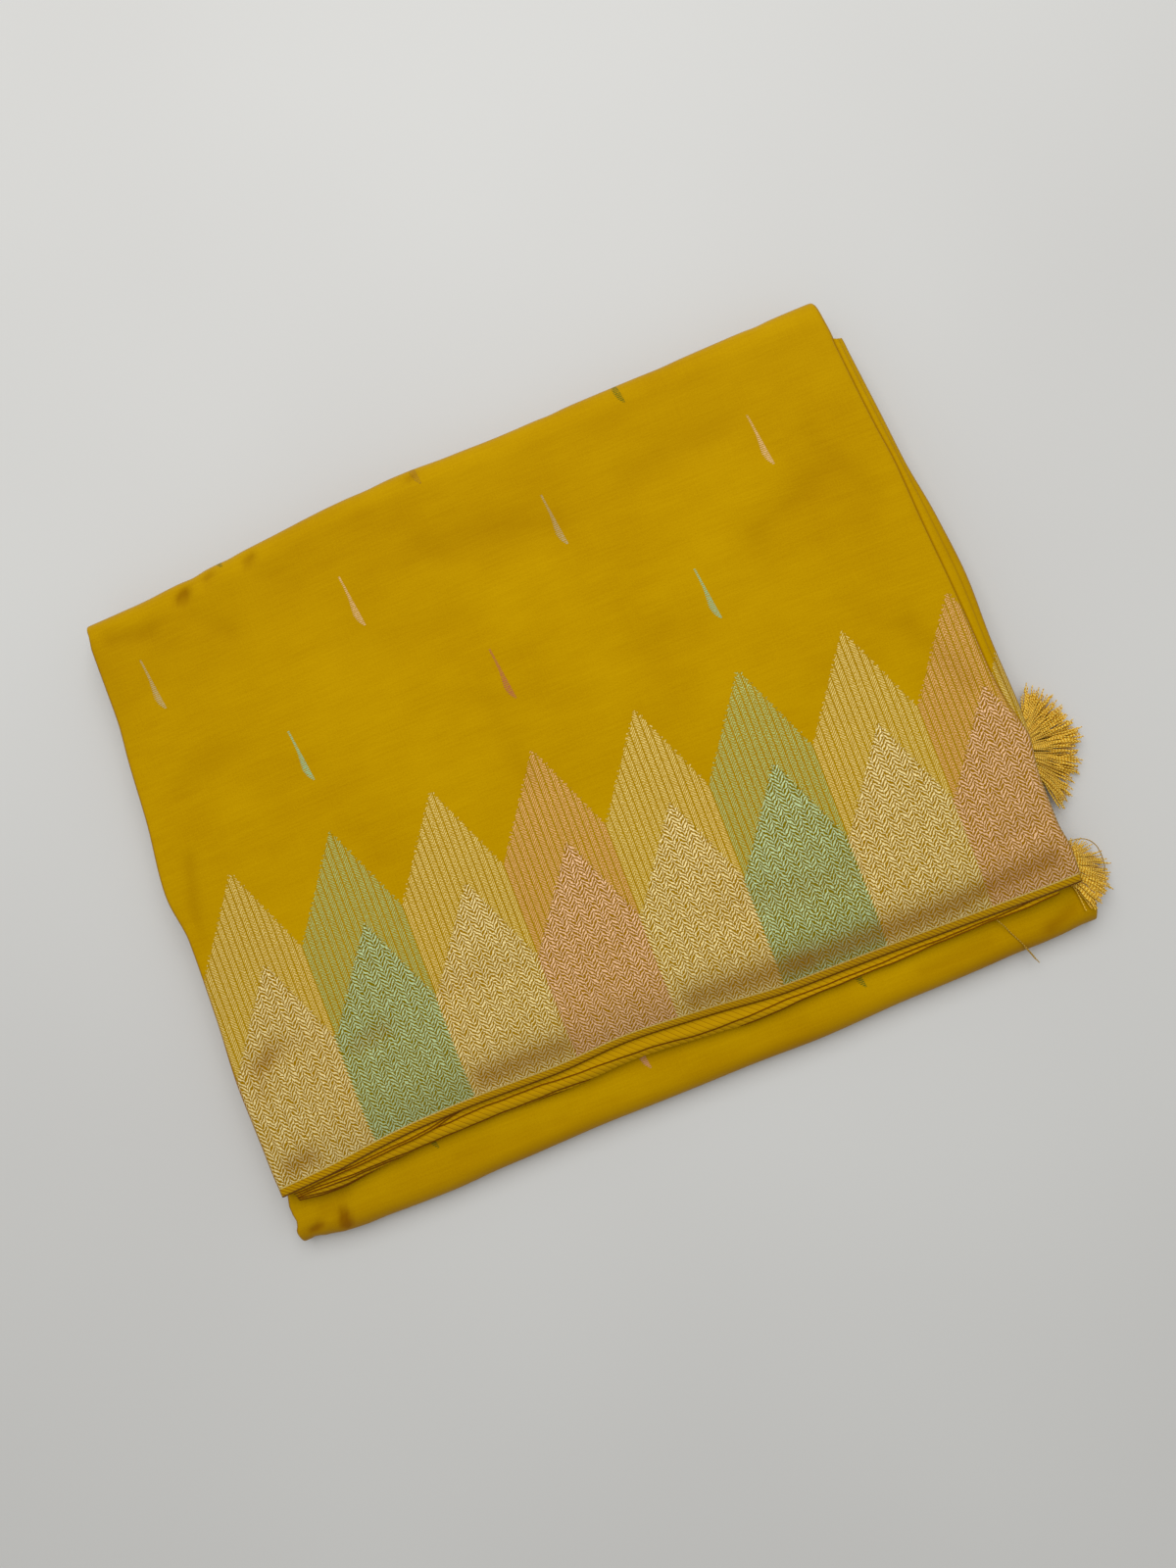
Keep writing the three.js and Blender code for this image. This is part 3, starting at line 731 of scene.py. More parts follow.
# %% Inner layers
LOBES = 4
LOBE_POINTS = 5
LEVEL_COLUMNS = 12
LEVEL_CLEAR = 3.0       # how far the level faces stop short of the ends
LOBE_DEPTH, LOBE_ROUND = 0.85, 0.6  # how far a lobe stands out, and the power of its round
LOBE_BACK = 0.45        # how far the lobes stand back on average
LOBE_TURN, SIDE_TURN = 1.9, 2.6     # how far the wander of one lobe, or one side, is from another's
LOBE_WAVES = ((41.0, 0.28, 1.0), (17.3, 0.168, 2.2), (7.1, 0.12, 5.0))
BAND_ENDS = (-210.0, 184.0)     # the places along the border where its two ends are read
LEFT_ROOM, RIGHT_ROOM = 0.4, 0.6    # how far its ends stand back from the outermost ply's
FOLD_REACH = 0.06       # share of a level run that still lies inside the outermost ply's fold
TASSEL_ROOM = columns(("y", "inset"), (
    (-168, 24),
    (-128, 24),
    (-96, 20),
    (-84, 6),
    (-76, 22),
    (-46, 22),
    (-34, 3),
    (168, 1),
))
BAND_STATIONS = {
    "top": np.linspace(0.075, 1, 34, endpoint=False),
    "back": np.linspace(0, 1, 14),
    "bottom": np.linspace(0.02, 1, 36, endpoint=False),
    "front": np.linspace(0, 1, 14),
    "second": np.linspace(0.02, 1, 36, endpoint=False),
    "inner": np.linspace(0, 1, 10),
    "third": np.linspace(0.02, 1, 48),
}
STATION_STEP = RUN_LENGTH / 40  # the way that one station counts for in the wander


def lobe_wander(way_mm, lobe, side):
    """How far the fold of one pair of plies stands back along the band."""
    phase = LOBE_TURN * lobe + SIDE_TURN * side
    return LOBE_BACK + sum(size * np.sin(way_mm / length + turn * phase) for length, size, turn in LOBE_WAVES)


def band_section(run, way, way_mm):
    """Closed loop of points round the band at one station."""
    y_left, y_middle, y_right = (station_y([(run, way)], x)[0] for x in (BAND_ENDS[0], 0.0, BAND_ENDS[1]))
    in_fold = run in ("bottom", "second") and min(way, 1 - way) < FOLD_REACH
    inset = COVER if in_fold or run in ("top", "back", "front") else 0.0
    is_top = run in ("top", "back")
    room = through(TASSEL_ROOM, "y", "inset", y_right) if run == "third" else RIGHT_ROOM
    left_x = end("left" if is_top else "lowLeft", y_left) + inset + LEFT_ROOM
    right_x = end("crease" if is_top else "lowRight", y_right) - inset - room
    share = np.linspace(0, 1, LOBE_POINTS + 1)[:-1]
    side_rise = np.concatenate([(lobe + share) / LOBES for lobe in range(LOBES)] + [[1.0]])
    bulge = np.sin(np.pi * np.concatenate([share] * LOBES + [[0.0]])) ** LOBE_ROUND
    lobe = np.minimum(np.arange(len(side_rise)) // LOBE_POINTS, LOBES - 1)
    right_points, left_points = (
        edge - side * (lobe_wander(way_mm, lobe, side) + LOBE_DEPTH * (1 - bulge))
        for edge, side in ((right_x, 1), (left_x, -1))
    )
    level_x = np.linspace(left_x + LEVEL_CLEAR, right_x - LEVEL_CLEAR, LEVEL_COLUMNS)
    x = np.concatenate((level_x, right_points, level_x[::-1], left_points[::-1]))
    rise = np.concatenate((0 * level_x, side_rise, 0 * level_x + 1, side_rise[::-1]))
    if run == "top":
        height = top_height(x, y_middle) - third_top(x, y_middle) - SEAM
    elif run == "third":
        height = third_top(x, y_middle) - 2 * FRONT_RADIUS - SEAM
    else:
        height = np.full_like(x, BAND)
    depth = inset + (height - 2 * inset) * rise
    y, z = RUNS[run](x, way, depth)
    return np.stack((x, y, z), axis=-1), rise


def inner_layers():
    """All the plies out of sight, as one folded band with lobed ends."""
    rings, rises, way_mm = [], [], 0.0
    for run, ways in BAND_STATIONS.items():
        for way in ways:
            ring, rise = band_section(run, float(way), way_mm)
            rings.append(ring)
            rises.append(rise)
            way_mm += STATION_STEP
    points = np.array(rings)
    steps = np.linalg.norm(np.diff(points[:, :1], axis=0), axis=-1)
    v = np.concatenate(([[0.0]], np.cumsum(steps, axis=0))) + BAND * np.array(rises)
    uv = np.stack((points[..., 0] + 0 * v, v), axis=-1)
    return grid_mesh("inner_layers_silk", points, uv, closed=True)


inner = inner_layers()
print(inner.name, "has", len(inner.data.polygons), "faces")

# %% [markdown]
# ## Tassels
#
# Each tassel is a bundle of twisted silk threads, folded over a core and bound at the neck. It
# was knotted to the end of the sari, and lies under the top stretch with its threads fanned
# out over the edge of the pile. The threads' paths are worked out first, as plain edges: each
# lies on the band below, and sinks to the table once it is past the edge of the pile.
#
# Geometry Nodes then turn the paths into threads. The tree carries each thread's length and
# the way round it along as attributes, and the thread material draws its twist from them.

# %% Paths of the threads
TASSELS = {
    "rear_tassel": {
        "x": 174, "y": -62, "heading": -8, "spread": 46, "threads": 400, "reach": 42, "short": 0.14,
        "height": 5, "seed": 7,
    },
    "front_tassel": {
        "x": 172, "y": -113, "heading": -28, "spread": 27, "threads": 290, "reach": 38.5, "short": 0.56,
        "height": 3, "seed": 12,
    },
}
THREAD_POINTS = 12
THREAD_RADIUS = 0.27
THREAD_FALL = 15.0      # how far past the pile's edge a thread reaches its lowest
LOCK = 9                # threads that lie together
ROOT = 2.8              # how far from the knot its threads start
LOCK_TURN, LOCK_REACH = 2.0, 0.03   # how locks differ: degrees, and a share of the reach
THREAD_REACH = 0.04     # and how the threads in them do
TOP_CUT, SIDE_CUT = 0.06, 0.05      # how much shorter the top threads are, and those at the sides
THREAD_BEND, FAN_BEND = 3.5, 3.0    # degrees that a thread bends by, at random and outwards
THREAD_SWAY = 0.4
LATE_TURN = 0.18        # share of its turn from the heading that a thread takes after the knot
FULL_HEIGHT = 4.0       # a lower tassel has its threads pressed closer together
TABLE_CLEAR = 0.5       # room under the lowest threads where they lie on the table
EDGE_CLEAR = 2.0        # how far past the pile's edge they start to fall
LAYERS_LIE, LAYERS_TIP = (0.5, 3.5), (1.2, 7.4)  # heights of the lowest and highest threads


def thread_paths(x, y, heading, spread, threads, reach, short, height, seed):
    """Points in mm along each thread of a tassel, in a fan of small locks from its neck. The
    threads towards the back are shorter by the share called short."""
    random = np.random.default_rng(seed)
    layer = random.permutation(np.linspace(0, 1, threads))
    place = (np.arange(threads) + random.uniform(0, 1, threads)) / threads * 2 - 1
    locks = threads // LOCK
    lock = np.minimum((place + 1) / 2 * locks, locks - 1).astype(int)
    lock_turn, lock_reach = (random.normal(0, size, locks)[lock] for size in (LOCK_TURN, LOCK_REACH))
    fan = np.sign(place) * np.abs(place) ** 1.05
    angle = np.radians(heading + spread * fan + lock_turn)
    cut = TOP_CUT * layer + short * np.clip((fan + 0.1) / 1.1, 0, 1) + SIDE_CUT * np.abs(fan) ** 4
    full = reach * (1 - cut + lock_reach + random.normal(0, THREAD_REACH, threads))
    t = np.linspace(0, 1, THREAD_POINTS)
    distance = ROOT + (full[:, None] - ROOT) * t
    bend = np.radians(random.normal(0, THREAD_BEND, threads) + FAN_BEND * fan)[:, None] * t * t
    sway = random.normal(0, THREAD_SWAY, (threads, 2))[:, :, None]
    turn = mix(angle[:, None], np.radians(heading), LATE_TURN * (1 - t)) + bend
    px = x + distance * np.cos(turn) - sway[:, 0] * np.sin(9 * t) * np.sin(turn)
    py = y + distance * np.sin(turn) + sway[:, 1] * np.sin(7 * t + 1) * np.cos(turn)
    room = min(1, height / FULL_HEIGHT)
    level = 2 * FRONT_RADIUS + SEAM + mix(*LAYERS_LIE, layer[:, None]) * room
    low = TABLE_CLEAR + mix(*LAYERS_TIP, layer[:, None]) * room
    fallen = ease((px - end("lowRight", py) - EDGE_CLEAR) / THREAD_FALL)
    return np.stack((px, py, mix(level, low, fallen)), axis=-1)


def edge_paths(name, paths):
    """Object of bare edges along a list of paths in mm."""
    points, edges, first = [], [], 0
    for path in paths:
        points += (np.asarray(path) * MM).tolist()
        edges += [(first + k, first + k + 1) for k in range(len(path) - 1)]
        first += len(path)
    mesh = bpy.data.meshes.new(name)
    mesh.from_pydata(points, edges, [])
    return new_object(name, mesh)


# Loose ends: one thread stands off the front tassel in an arc, one lies over the front fold
# from between the selvedges, and the back corner of the top stretch is frayed.
LOOSE_ENDS = {
    "arc_thread": ((
        (178, -113.5, 15),
        (184, -112.5, 16),
        (189.7, -112.2, 16.5),
        (193.5, -112.7, 16.5),
        (196.6, -113.4, 16),
        (200, -115.7, 15),
        (202.7, -120.3, 13.5),
        (203.5, -124.6, 12),
        (204, -129.9, 9.5),
        (203.3, -133.8, 7),
    ),),
    "fold_thread": ((
        (144, -131, 16.9),
        (146.5, -135.8, 16.3),
        (148.7, -139.3, 14.7),
        (150.5, -143.1, 13.1),
        (153.3, -148.6, 12.7),
        (155.9, -154.2, 11),
        (157.9, -158.7, 8.5),
        (159.7, -162.8, 6.5),
    ), (
        (154.5, -152, 11.8),
        (156.9, -157.2, 9.4),
        (158.4, -160.4, 7.8),
        (159.3, -161.6, 7.0),
    )),
    "corner_fray": ((
        (166, 164, 21),
        (169.6, 164.8, 20),
        (171.2, 164.1, 19),
        (172, 162.8, 18),
    ), (
        (168, 162, 21.5),
        (170.8, 162.6, 20),
        (172.1, 160.9, 18.5),
    ), (
        (169, 158, 22),
        (171.3, 158.4, 20.5),
        (171.9, 157.2, 19),
    )),
}


def smooth_path(points, count):
    """Even curve through a few given points."""
    points = np.array(points, float)
    steps = np.concatenate(([0.0], np.cumsum(np.linalg.norm(np.diff(points, axis=0), axis=1))))
    table = {"along": steps, **{axis: points[:, k] for k, axis in enumerate("xyz")}}
    at = np.linspace(0, steps[-1], count)
    return np.stack([through(table, "along", axis, at) for axis in "xyz"], axis=-1)


# %% [markdown]
# ## The thread tree
#
# One tree serves the tassels and the loose threads. Its inputs are sizes in metres and a seed.
# Noise moves the points of a path, more towards its tip, so the roots stay in the neck.

# %% Geometry Nodes: threads along paths
def linear(code):
    """An sRGB hex value as linear red, green, blue and alpha."""
    shares = [int(code[k:k + 2], 16) / 255 for k in (1, 3, 5)]
    return [s / 12.92 if s <= 0.04045 else ((s + 0.055) / 1.055) ** 2.4 for s in shares] + [1.0]


def add(tree, kind, *values, stops=(), **settings):
    """Adds a node, sets it, and fills its inputs in order with numbers, nodes or sockets.
    A shader node's kind goes without "ShaderNode" in front. Inputs that aren't in order are
    given as a dictionary in place of the values. The inputs of a Mix node share their names,
    so they go by number: 0 is the factor, 2 and 3 are numbers, and 6 and 7 are colours. Its
    output 2 is the colour. Stops are a colour ramp's interpolation, and then pairs of a
    position with a hex colour or a grey."""
    node = tree.nodes.new(kind if "Node" in kind else "ShaderNode" + kind)
    for name, value in settings.items():
        setattr(node, name, value)
    if stops:
        node.color_ramp.interpolation = stops[0]
        for k, (position, colour) in enumerate(stops[1:]):
            known = k < len(node.color_ramp.elements)
            stop = node.color_ramp.elements[k] if known else node.color_ramp.elements.new(position)
            stop.position = position
            stop.color = linear(colour) if isinstance(colour, str) else (colour, colour, colour, 1)
    pairs = values[0].items() if values and isinstance(values[0], dict) else enumerate(values)
    for key, value in pairs:
        if isinstance(value, bpy.types.Node):
            value = value.outputs[0]
        if isinstance(value, bpy.types.NodeSocket):
            tree.links.new(value, node.inputs[key])
        else:
            node.inputs[key].default_value = value
    return node


def thread_tree():
    """Geometry Nodes that turn bare edges into frizzy threads."""
    tree = bpy.data.node_groups.new("threads along paths", "GeometryNodeTree")
    face = tree.interface
    face.new_socket("Paths", in_out="INPUT", socket_type="NodeSocketGeometry")
    for name, kind in (("Radius", "Float"), ("Frizz", "Float"), ("Sides", "Int"), ("Seed", "Int")):
        face.new_socket(name, in_out="INPUT", socket_type=f"NodeSocket{kind}")
    face.new_socket("Material", in_out="INPUT", socket_type="NodeSocketMaterial")
    face.new_socket("Threads", in_out="OUTPUT", socket_type="NodeSocketGeometry")
    given = add(tree, "NodeGroupInput").outputs
    curves = add(tree, "GeometryNodeMeshToCurve", given["Paths"])
    finer = add(tree, "GeometryNodeResampleCurve", {"Curve": curves, "Count": 24}, mode="COUNT")
    along = add(tree, "GeometryNodeSplineParameter")
    spot = add(tree, "GeometryNodeInputPosition")
    noise = add(tree, "TexNoise", {"Vector": spot, "W": given["Seed"], "Scale": 260.0, "Detail": 2.0},
                noise_dimensions="4D")
    middle = add(tree, "VectorMath", noise.outputs["Color"], (0.5, 0.5, 0.5), operation="SUBTRACT")
    reach = add(tree, "Math", along.outputs["Factor"], given["Frizz"], operation="MULTIPLY")
    push = add(tree, "VectorMath", {"Vector": middle, "Scale": reach}, operation="SCALE")
    moved = add(tree, "GeometryNodeSetPosition", {"Geometry": finer, "Offset": push})
    length = add(tree, "GeometryNodeStoreNamedAttribute",
                 {"Geometry": moved, "Name": "along", "Value": along.outputs["Length"]},
                 data_type="FLOAT", domain="POINT")
    ring = add(tree, "GeometryNodeCurvePrimitiveCircle",
               {"Resolution": given["Sides"], "Radius": given["Radius"]})
    round_it = add(tree, "GeometryNodeSplineParameter")
    marked = add(tree, "GeometryNodeStoreNamedAttribute",
                 {"Geometry": ring, "Name": "around", "Value": round_it.outputs["Factor"]},
                 data_type="FLOAT", domain="POINT")
    tubes = add(tree, "GeometryNodeCurveToMesh",
                {"Curve": length, "Profile Curve": marked, "Fill Caps": True})
    smooth = add(tree, "GeometryNodeSetShadeSmooth", {"Geometry": tubes})
    real = add(tree, "GeometryNodeRealizeInstances", {"Geometry": smooth})
    dressed = add(tree, "GeometryNodeSetMaterial", {"Geometry": real, "Material": given["Material"]})
    add(tree, "NodeGroupOutput", dressed)
    return tree


THREADS = thread_tree()


def make_threads(name, paths, material, radius=THREAD_RADIUS, frizz=1.8, sides=5, seed=1):
    """Plain mesh of threads along paths."""
    piece = edge_paths(name, paths)
    modifier = piece.modifiers.new("threads", "NODES")
    modifier.node_group = THREADS
    sizes = {"Radius": radius * MM, "Frizz": frizz * MM, "Sides": sides, "Seed": seed, "Material": material}
    for item in THREADS.interface.items_tree:
        if item.in_out == "INPUT" and item.name in sizes:
            modifier[item.identifier] = sizes[item.name]
    seen = piece.evaluated_get(bpy.context.evaluated_depsgraph_get())
    mesh = bpy.data.meshes.new_from_object(seen)
    piece.modifiers.clear()
    piece.data = mesh
    mesh.name = name
    return piece


# %% [markdown]
# ## Mustard silk
#
# The ground is plain-woven silk, mustard yellow, with a soft satin sheen. What the eye sees is
# an even colour, broken by slubs: threads that are a little thicker, which run along the weft.
# Silk threads are about 0.25 mm apart, which is too fine to show from half a metre, so the
# weave is drawn as a grain of 0.7 mm. Silk's reflections take on its own colour, because light
# goes into the threads and comes out again, so the specular tint and the sheen are golden.

# %% Silk
GOLDEN = linear("#E8B422")
MUSTARD_DARK, MUSTARD, MUSTARD_LIGHT = "#AC7F00", "#B98E00", "#C49A02"
SHADE_COLOUR = "#8A5900"   # painted shade: the colour that silk is darkened towards along folds, in hollows and underneath


def cloth_place(tree):
    """The cloth's own coordinates in mm: the vector, u and v."""
    uv = add(tree, "UVMap", uv_map="Cloth")
    mm = add(tree, "VectorMath", {0: uv, "Scale": 1 / MM}, operation="SCALE")
    parts = add(tree, "SeparateXYZ", mm)
    return mm, parts.outputs["X"], parts.outputs["Y"]


# How uneven the silk is, coarse to fine: a share of its tone, how often that changes for a mm of
# u and of v, and its detail. These are clouds in the dye, patches, slubs along the weft, uneven
# ends of the warp, and the grain of the weave.
WEAVE = (
    (0.9, 1 / 60, 1 / 60, 2.0),
    (0.35, 0.04, 0.1, 3.0),
    (0.4, 0.05, 0.9, 2.0),
    (0.2, 1.3, 0.05, 2.0),
    (0.55, 1 / 0.7, 1 / 0.7, 1.0),
)
TONE_DARK, TONE_LIGHT = 0.8, 1.6    # the tones that get the darkest and the lightest mustard
SHADE_STRENGTH = 0.8     # how far the fullest painted shade goes towards that colour


def plain_weave(tree, mm):
    """Colour and height of plain mustard silk."""
    tone = 0.0
    for weight, along_u, along_v, detail in WEAVE:
        place = add(tree, "VectorMath", mm, (along_u, along_v, 0), operation="MULTIPLY")
        noise = add(tree, "TexNoise", {"Vector": place, "Scale": 1.0, "Detail": detail})
        tone = add(tree, "Math", noise, weight, tone, operation="MULTIPLY_ADD")
    share = add(tree, "MapRange", {"Value": tone, "From Min": TONE_DARK, "From Max": TONE_LIGHT})
    colour = add(tree, "ValToRGB", share,
                 stops=("LINEAR", (0, MUSTARD_DARK), (0.5, MUSTARD), (1, MUSTARD_LIGHT)))
    return colour.outputs["Color"], tone


def paint_shade(tree, colour):
    """Painted shade: darkens silk by the attribute "pressed"."""
    painted_shade = add(tree, "Attribute", attribute_name="pressed").outputs["Fac"]
    share = add(tree, "Math", painted_shade, SHADE_STRENGTH, operation="MULTIPLY")
    dark = add(tree, "Mix", {0: share, 6: colour, 7: linear(SHADE_COLOUR)}, data_type="RGBA")
    return dark.outputs[2]


def silk_shader(tree, colour, height, roughness, depth_mm, metal=0.0):
    """Finishes a silk material from its colour and its height."""
    bump = add(tree, "Bump", {"Height": height, "Strength": 1.0, "Distance": depth_mm * MM})
    shader = add(tree, "BsdfPrincipled", {
        "Base Color": colour,
        "Metallic": metal,
        "Roughness": roughness,
        "Specular IOR Level": 0.2,
        "Specular Tint": GOLDEN,
        "Sheen Weight": 0.1,
        "Sheen Roughness": 0.35,
        "Sheen Tint": GOLDEN,
        "Normal": bump,
    })
    add(tree, "OutputMaterial", shader)


def new_material(name):
    """An empty node material and its tree."""
    material = bpy.data.materials.new(name)
    material.use_nodes = True
    material.node_tree.nodes.clear()
    return material, material.node_tree


# %% [markdown]
# ## Brocaded border
#
# Two rows of spires stand along the selvedge, one inside the other. They are woven in with
# extra threads of pale gold, green and pink. The outer spires are striped: sixteen narrow bands
# of grainy colour to a spire, with a line of mustard between them. The inner ones are filled
# with herringbone, light threads in zigzag rows over a brownish ground. Along the very edge a
# plain band is left, ribbed on the slant, and on its very edge a line of painted shadow stands
# for the shadow that the ply casts on the one below.
#
# The pattern is arithmetic on the cloth coordinates. Each spire is a triangle with straight
# flanks, cut in small steps as a loom makes them. Its apex stands right of its middle, so its
# left flank is the longer one. A place is inside a spire when its v is less than the flank's.

# %% Border pattern
PITCH = 51.5            # one spire
SPIRE_START = -214.6    # u of the left side of a gold one
APEX_SHARE = 0.615      # where the apex stands in the width of a spire
FLANK_DROP = 45.5       # from an apex down to where two spires meet
LOOM_STEP = 1.3         # width of a step in a flank
STRIPE = PITCH / 16
STRIPE_GAP = 0.2        # share of a stripe that is left mustard
LEG = 3.1               # one leg of the herringbone
ROW = 2.1               # from one herringbone row to the next
BREAK = 0.9             # how far the rows of every other leg are shifted
EDGE_BAND = 4.0         # plain band along the selvedge
SHADOW_LINE = 0.65     # width of a painted shadow line along the very edge of a ply
# the colour of that painted shadow line
SHADOW_BROWN = "#7A4604"
EDGE_LINE, EDGE_LINE_COLOUR = 0.6, "#D8BE70"    # the pale thread where the border begins
RIB_DARK, RIB_LIGHT = "#8E5A03", "#C09206"
BAND_RIB, SELVEDGE_RIB = 1.5, 2.3
ZARI_METAL, STRIPE_METAL = 0.55, 0.3    # metallic share of the border's threads
TUFT = 1.2              # how far threads stand out of a flank
WOBBLE = 2.4            # how far the rows of the herringbone wander
LEG_SLOPE = 1.05        # how steeply they climb along a leg
FRAY, SPECKLE = 0.5, 1.6    # how much grain there is in the herringbone, and in the stripes
GAP_TONE = 0.8          # brightness of the mustard between two stripes
RIB_ACROSS = (0.656, 0.755)     # the direction across the ribs, in u and v
# For each colour in turn: herringbone threads, the ground under them, and the outer stripes'
# threads and ground.
SPIRES = (
    ("gold", "#FCE8A6", "#9E7400", "#F0D98C", "#B08804"),
    ("green", "#C6DCA8", "#7C6C00", "#B2CC88", "#A28204"),
    ("gold", "#FCE8A6", "#9E7400", "#F0D98C", "#B08804"),
    ("pink", "#F8CAA0", "#9A6A00", "#ECBB86", "#AE7E04"),
)


def spire_ramp(part):
    """Constant colour stops for one part of the four spires of a repeat."""
    return ("CONSTANT", *((k / 4, row[part]) for k, row in enumerate(SPIRES)))


def slant_ribs(tree, u, v, spacing):
    """Fine slanting ribs of a selvedge: 0 between two ribs, 0.5 on one."""
    slant = add(tree, "Math", u, RIB_ACROSS[0] / spacing, operation="MULTIPLY")
    across = add(tree, "Math", v, RIB_ACROSS[1] / spacing, slant, operation="MULTIPLY_ADD")
    return add(tree, "Math", across, 0.5, operation="PINGPONG")


def spires(tree, mm, u, v, silk, silk_height):
    """The border laid over plain silk: colour, height and metallic share."""
    coarse = add(tree, "TexNoise", {"Vector": mm, "Scale": 1 / 1.6, "Detail": 1.0})
    grain = add(tree, "TexNoise", {"Vector": mm, "Scale": 1 / 0.8, "Detail": 2.0, "Roughness": 0.7})

    from_start = add(tree, "Math", u, -SPIRE_START, operation="ADD")
    place = add(tree, "Math", from_start, 1 / PITCH, operation="MULTIPLY")
    tuft = add(tree, "Math", v, ROW / 2, operation="PINGPONG")
    ragged = add(tree, "Math", tuft, TUFT / PITCH, place, operation="MULTIPLY_ADD")
    steps = add(tree, "Math", ragged, LOOM_STEP / PITCH, operation="SNAP")
    within = add(tree, "Math", steps, operation="FRACT")
    off_apex = add(tree, "Math", within, APEX_SHARE, operation="SUBTRACT")
    on_left = add(tree, "Math", off_apex, -1 / APEX_SHARE, operation="MULTIPLY")
    on_right = add(tree, "Math", off_apex, 1 / (1 - APEX_SHARE), operation="MULTIPLY")
    share = add(tree, "Math", on_left, on_right, operation="MAXIMUM")
    outer_edge = add(tree, "Math", share, -FLANK_DROP, OUTER_APEX, operation="MULTIPLY_ADD")
    inner_edge = add(tree, "Math", share, -FLANK_DROP, INNER_APEX, operation="MULTIPLY_ADD")
    edges = (outer_edge, inner_edge, EDGE_BAND, EDGE_BAND + EDGE_LINE, SHADOW_LINE)
    in_outer, in_inner, in_edge, in_line, on_shadow_line = (
        add(tree, "Math", v, edge, operation="LESS_THAN") for edge in edges
    )

    picks = []
    for along in (ragged, place):
        number = add(tree, "Math", along, operation="FLOOR")
        turn = add(tree, "Math", number, 0.25, 0.125, operation="MULTIPLY_ADD")
        picks.append(add(tree, "Math", turn, operation="FRACT"))
    ragged_pick, even_pick = picks
    thread_colour, ground_colour, stripe_thread, stripe_ground = (
        add(tree, "ValToRGB", pick, stops=spire_ramp(part))
        for part, pick in ((1, ragged_pick), (2, ragged_pick), (3, even_pick), (4, even_pick))
    )

    wobble = add(tree, "Math", coarse, WOBBLE, v, operation="MULTIPLY_ADD")
    leg = add(tree, "Math", from_start, LEG, operation="PINGPONG")
    leg_place = add(tree, "Math", from_start, 1 / LEG, operation="MULTIPLY")
    leg_number = add(tree, "Math", leg_place, operation="FLOOR")
    odd = add(tree, "Math", leg_number, 1.0, operation="PINGPONG")
    shifted = add(tree, "Math", odd, BREAK, wobble, operation="MULTIPLY_ADD")
    zigzag = add(tree, "Math", leg, LEG_SLOPE, shifted, operation="MULTIPLY_ADD")
    rows = add(tree, "Math", zigzag, ROW / 2, operation="PINGPONG")
    frayed = add(tree, "Math", grain, FRAY, rows, operation="MULTIPLY_ADD")
    thread = add(tree, "MapRange", {"Value": frayed, "From Min": 0.72, "From Max": 0.96},
                 interpolation_type="SMOOTHSTEP")
    glints = add(tree, "MapRange", {"Value": grain, "From Min": 0.3, "From Max": 0.6, "To Min": 0.6})
    shine = add(tree, "Math", thread, glints, operation="MULTIPLY")
    herringbone = add(tree, "Mix", {0: shine, 6: ground_colour, 7: thread_colour}, data_type="RGBA")

    stripe_place = add(tree, "Math", from_start, 1 / STRIPE, STRIPE_GAP / 2, operation="MULTIPLY_ADD")
    in_stripe = add(tree, "Math", stripe_place, operation="FRACT")
    coloured = add(tree, "Math", in_stripe, STRIPE_GAP, operation="GREATER_THAN")
    fleck_way = add(tree, "Math", leg, LEG_SLOPE, v, operation="MULTIPLY_ADD")
    flecks = add(tree, "Math", fleck_way, ROW / 3, operation="PINGPONG")
    speckled = add(tree, "Math", grain, SPECKLE, flecks, operation="MULTIPLY_ADD")
    fleck = add(tree, "MapRange", {"Value": speckled, "From Min": 1.0, "From Max": 1.65})
    stripe_colour = add(tree, "Mix", {0: fleck, 6: stripe_ground, 7: stripe_thread}, data_type="RGBA")
    gap_colour = add(tree, "VectorMath", {0: silk, "Scale": GAP_TONE}, operation="SCALE")
    striped = add(tree, "Mix", {0: coloured, 6: gap_colour, 7: stripe_colour.outputs[2]},
                  data_type="RGBA")

    ribs = slant_ribs(tree, u, v, BAND_RIB)
    rib_share = add(tree, "MapRange", {"Value": ribs, "From Max": 0.25})
    ribbed = add(tree, "Mix", {0: rib_share, 6: linear(RIB_DARK), 7: linear(RIB_LIGHT)},
                 data_type="RGBA")
    line = add(tree, "Mix", {0: glints, 6: linear(RIB_LIGHT), 7: linear(EDGE_LINE_COLOUR)},
               data_type="RGBA")
    # The last layer is the painted shadow line along the edge of the ply.
    layers = ((in_outer, striped.outputs[2]), (in_inner, herringbone.outputs[2]), (in_line, line.outputs[2]),
              (in_edge, ribbed.outputs[2]), (on_shadow_line, linear(SHADOW_BROWN)))
    colour = silk
    for inside, finish in layers:
        colour = add(tree, "Mix", {0: inside, 6: colour, 7: finish}, data_type="RGBA").outputs[2]
    raised = add(tree, "Math", coloured, 0.5, silk_height, operation="MULTIPLY_ADD")
    height = silk_height
    for inside, relief in ((in_outer, raised), (in_inner, shine), (in_edge, ribs)):
        height = add(tree, "Mix", {0: inside, 2: height, 3: relief}).outputs[0]
    zari = add(tree, "Math", shine, ZARI_METAL, operation="MULTIPLY")
    stripe_zari = add(tree, "Math", fleck, STRIPE_METAL, operation="MULTIPLY")
    metal = add(tree, "Math", in_outer, stripe_zari, operation="MULTIPLY")
    for inside, share_of_metal in ((in_inner, zari), (in_edge, 0.0)):
        metal = add(tree, "Mix", {0: inside, 2: metal, 3: share_of_metal}).outputs[0]
    return colour, height, metal


# %% [markdown]
# ## Woven buttas
#
# Over the plain ground stand buttas, small woven figures: slim drops, one to every 103 mm along
# a row, with the rows in half drop. Their colours change from one to the next. Each is a
# straight right edge on a slight slant, and a belly at its left whose width is read from a
# ramp. The threads of a butta lie across it, which gives its left side a fine saw edge.

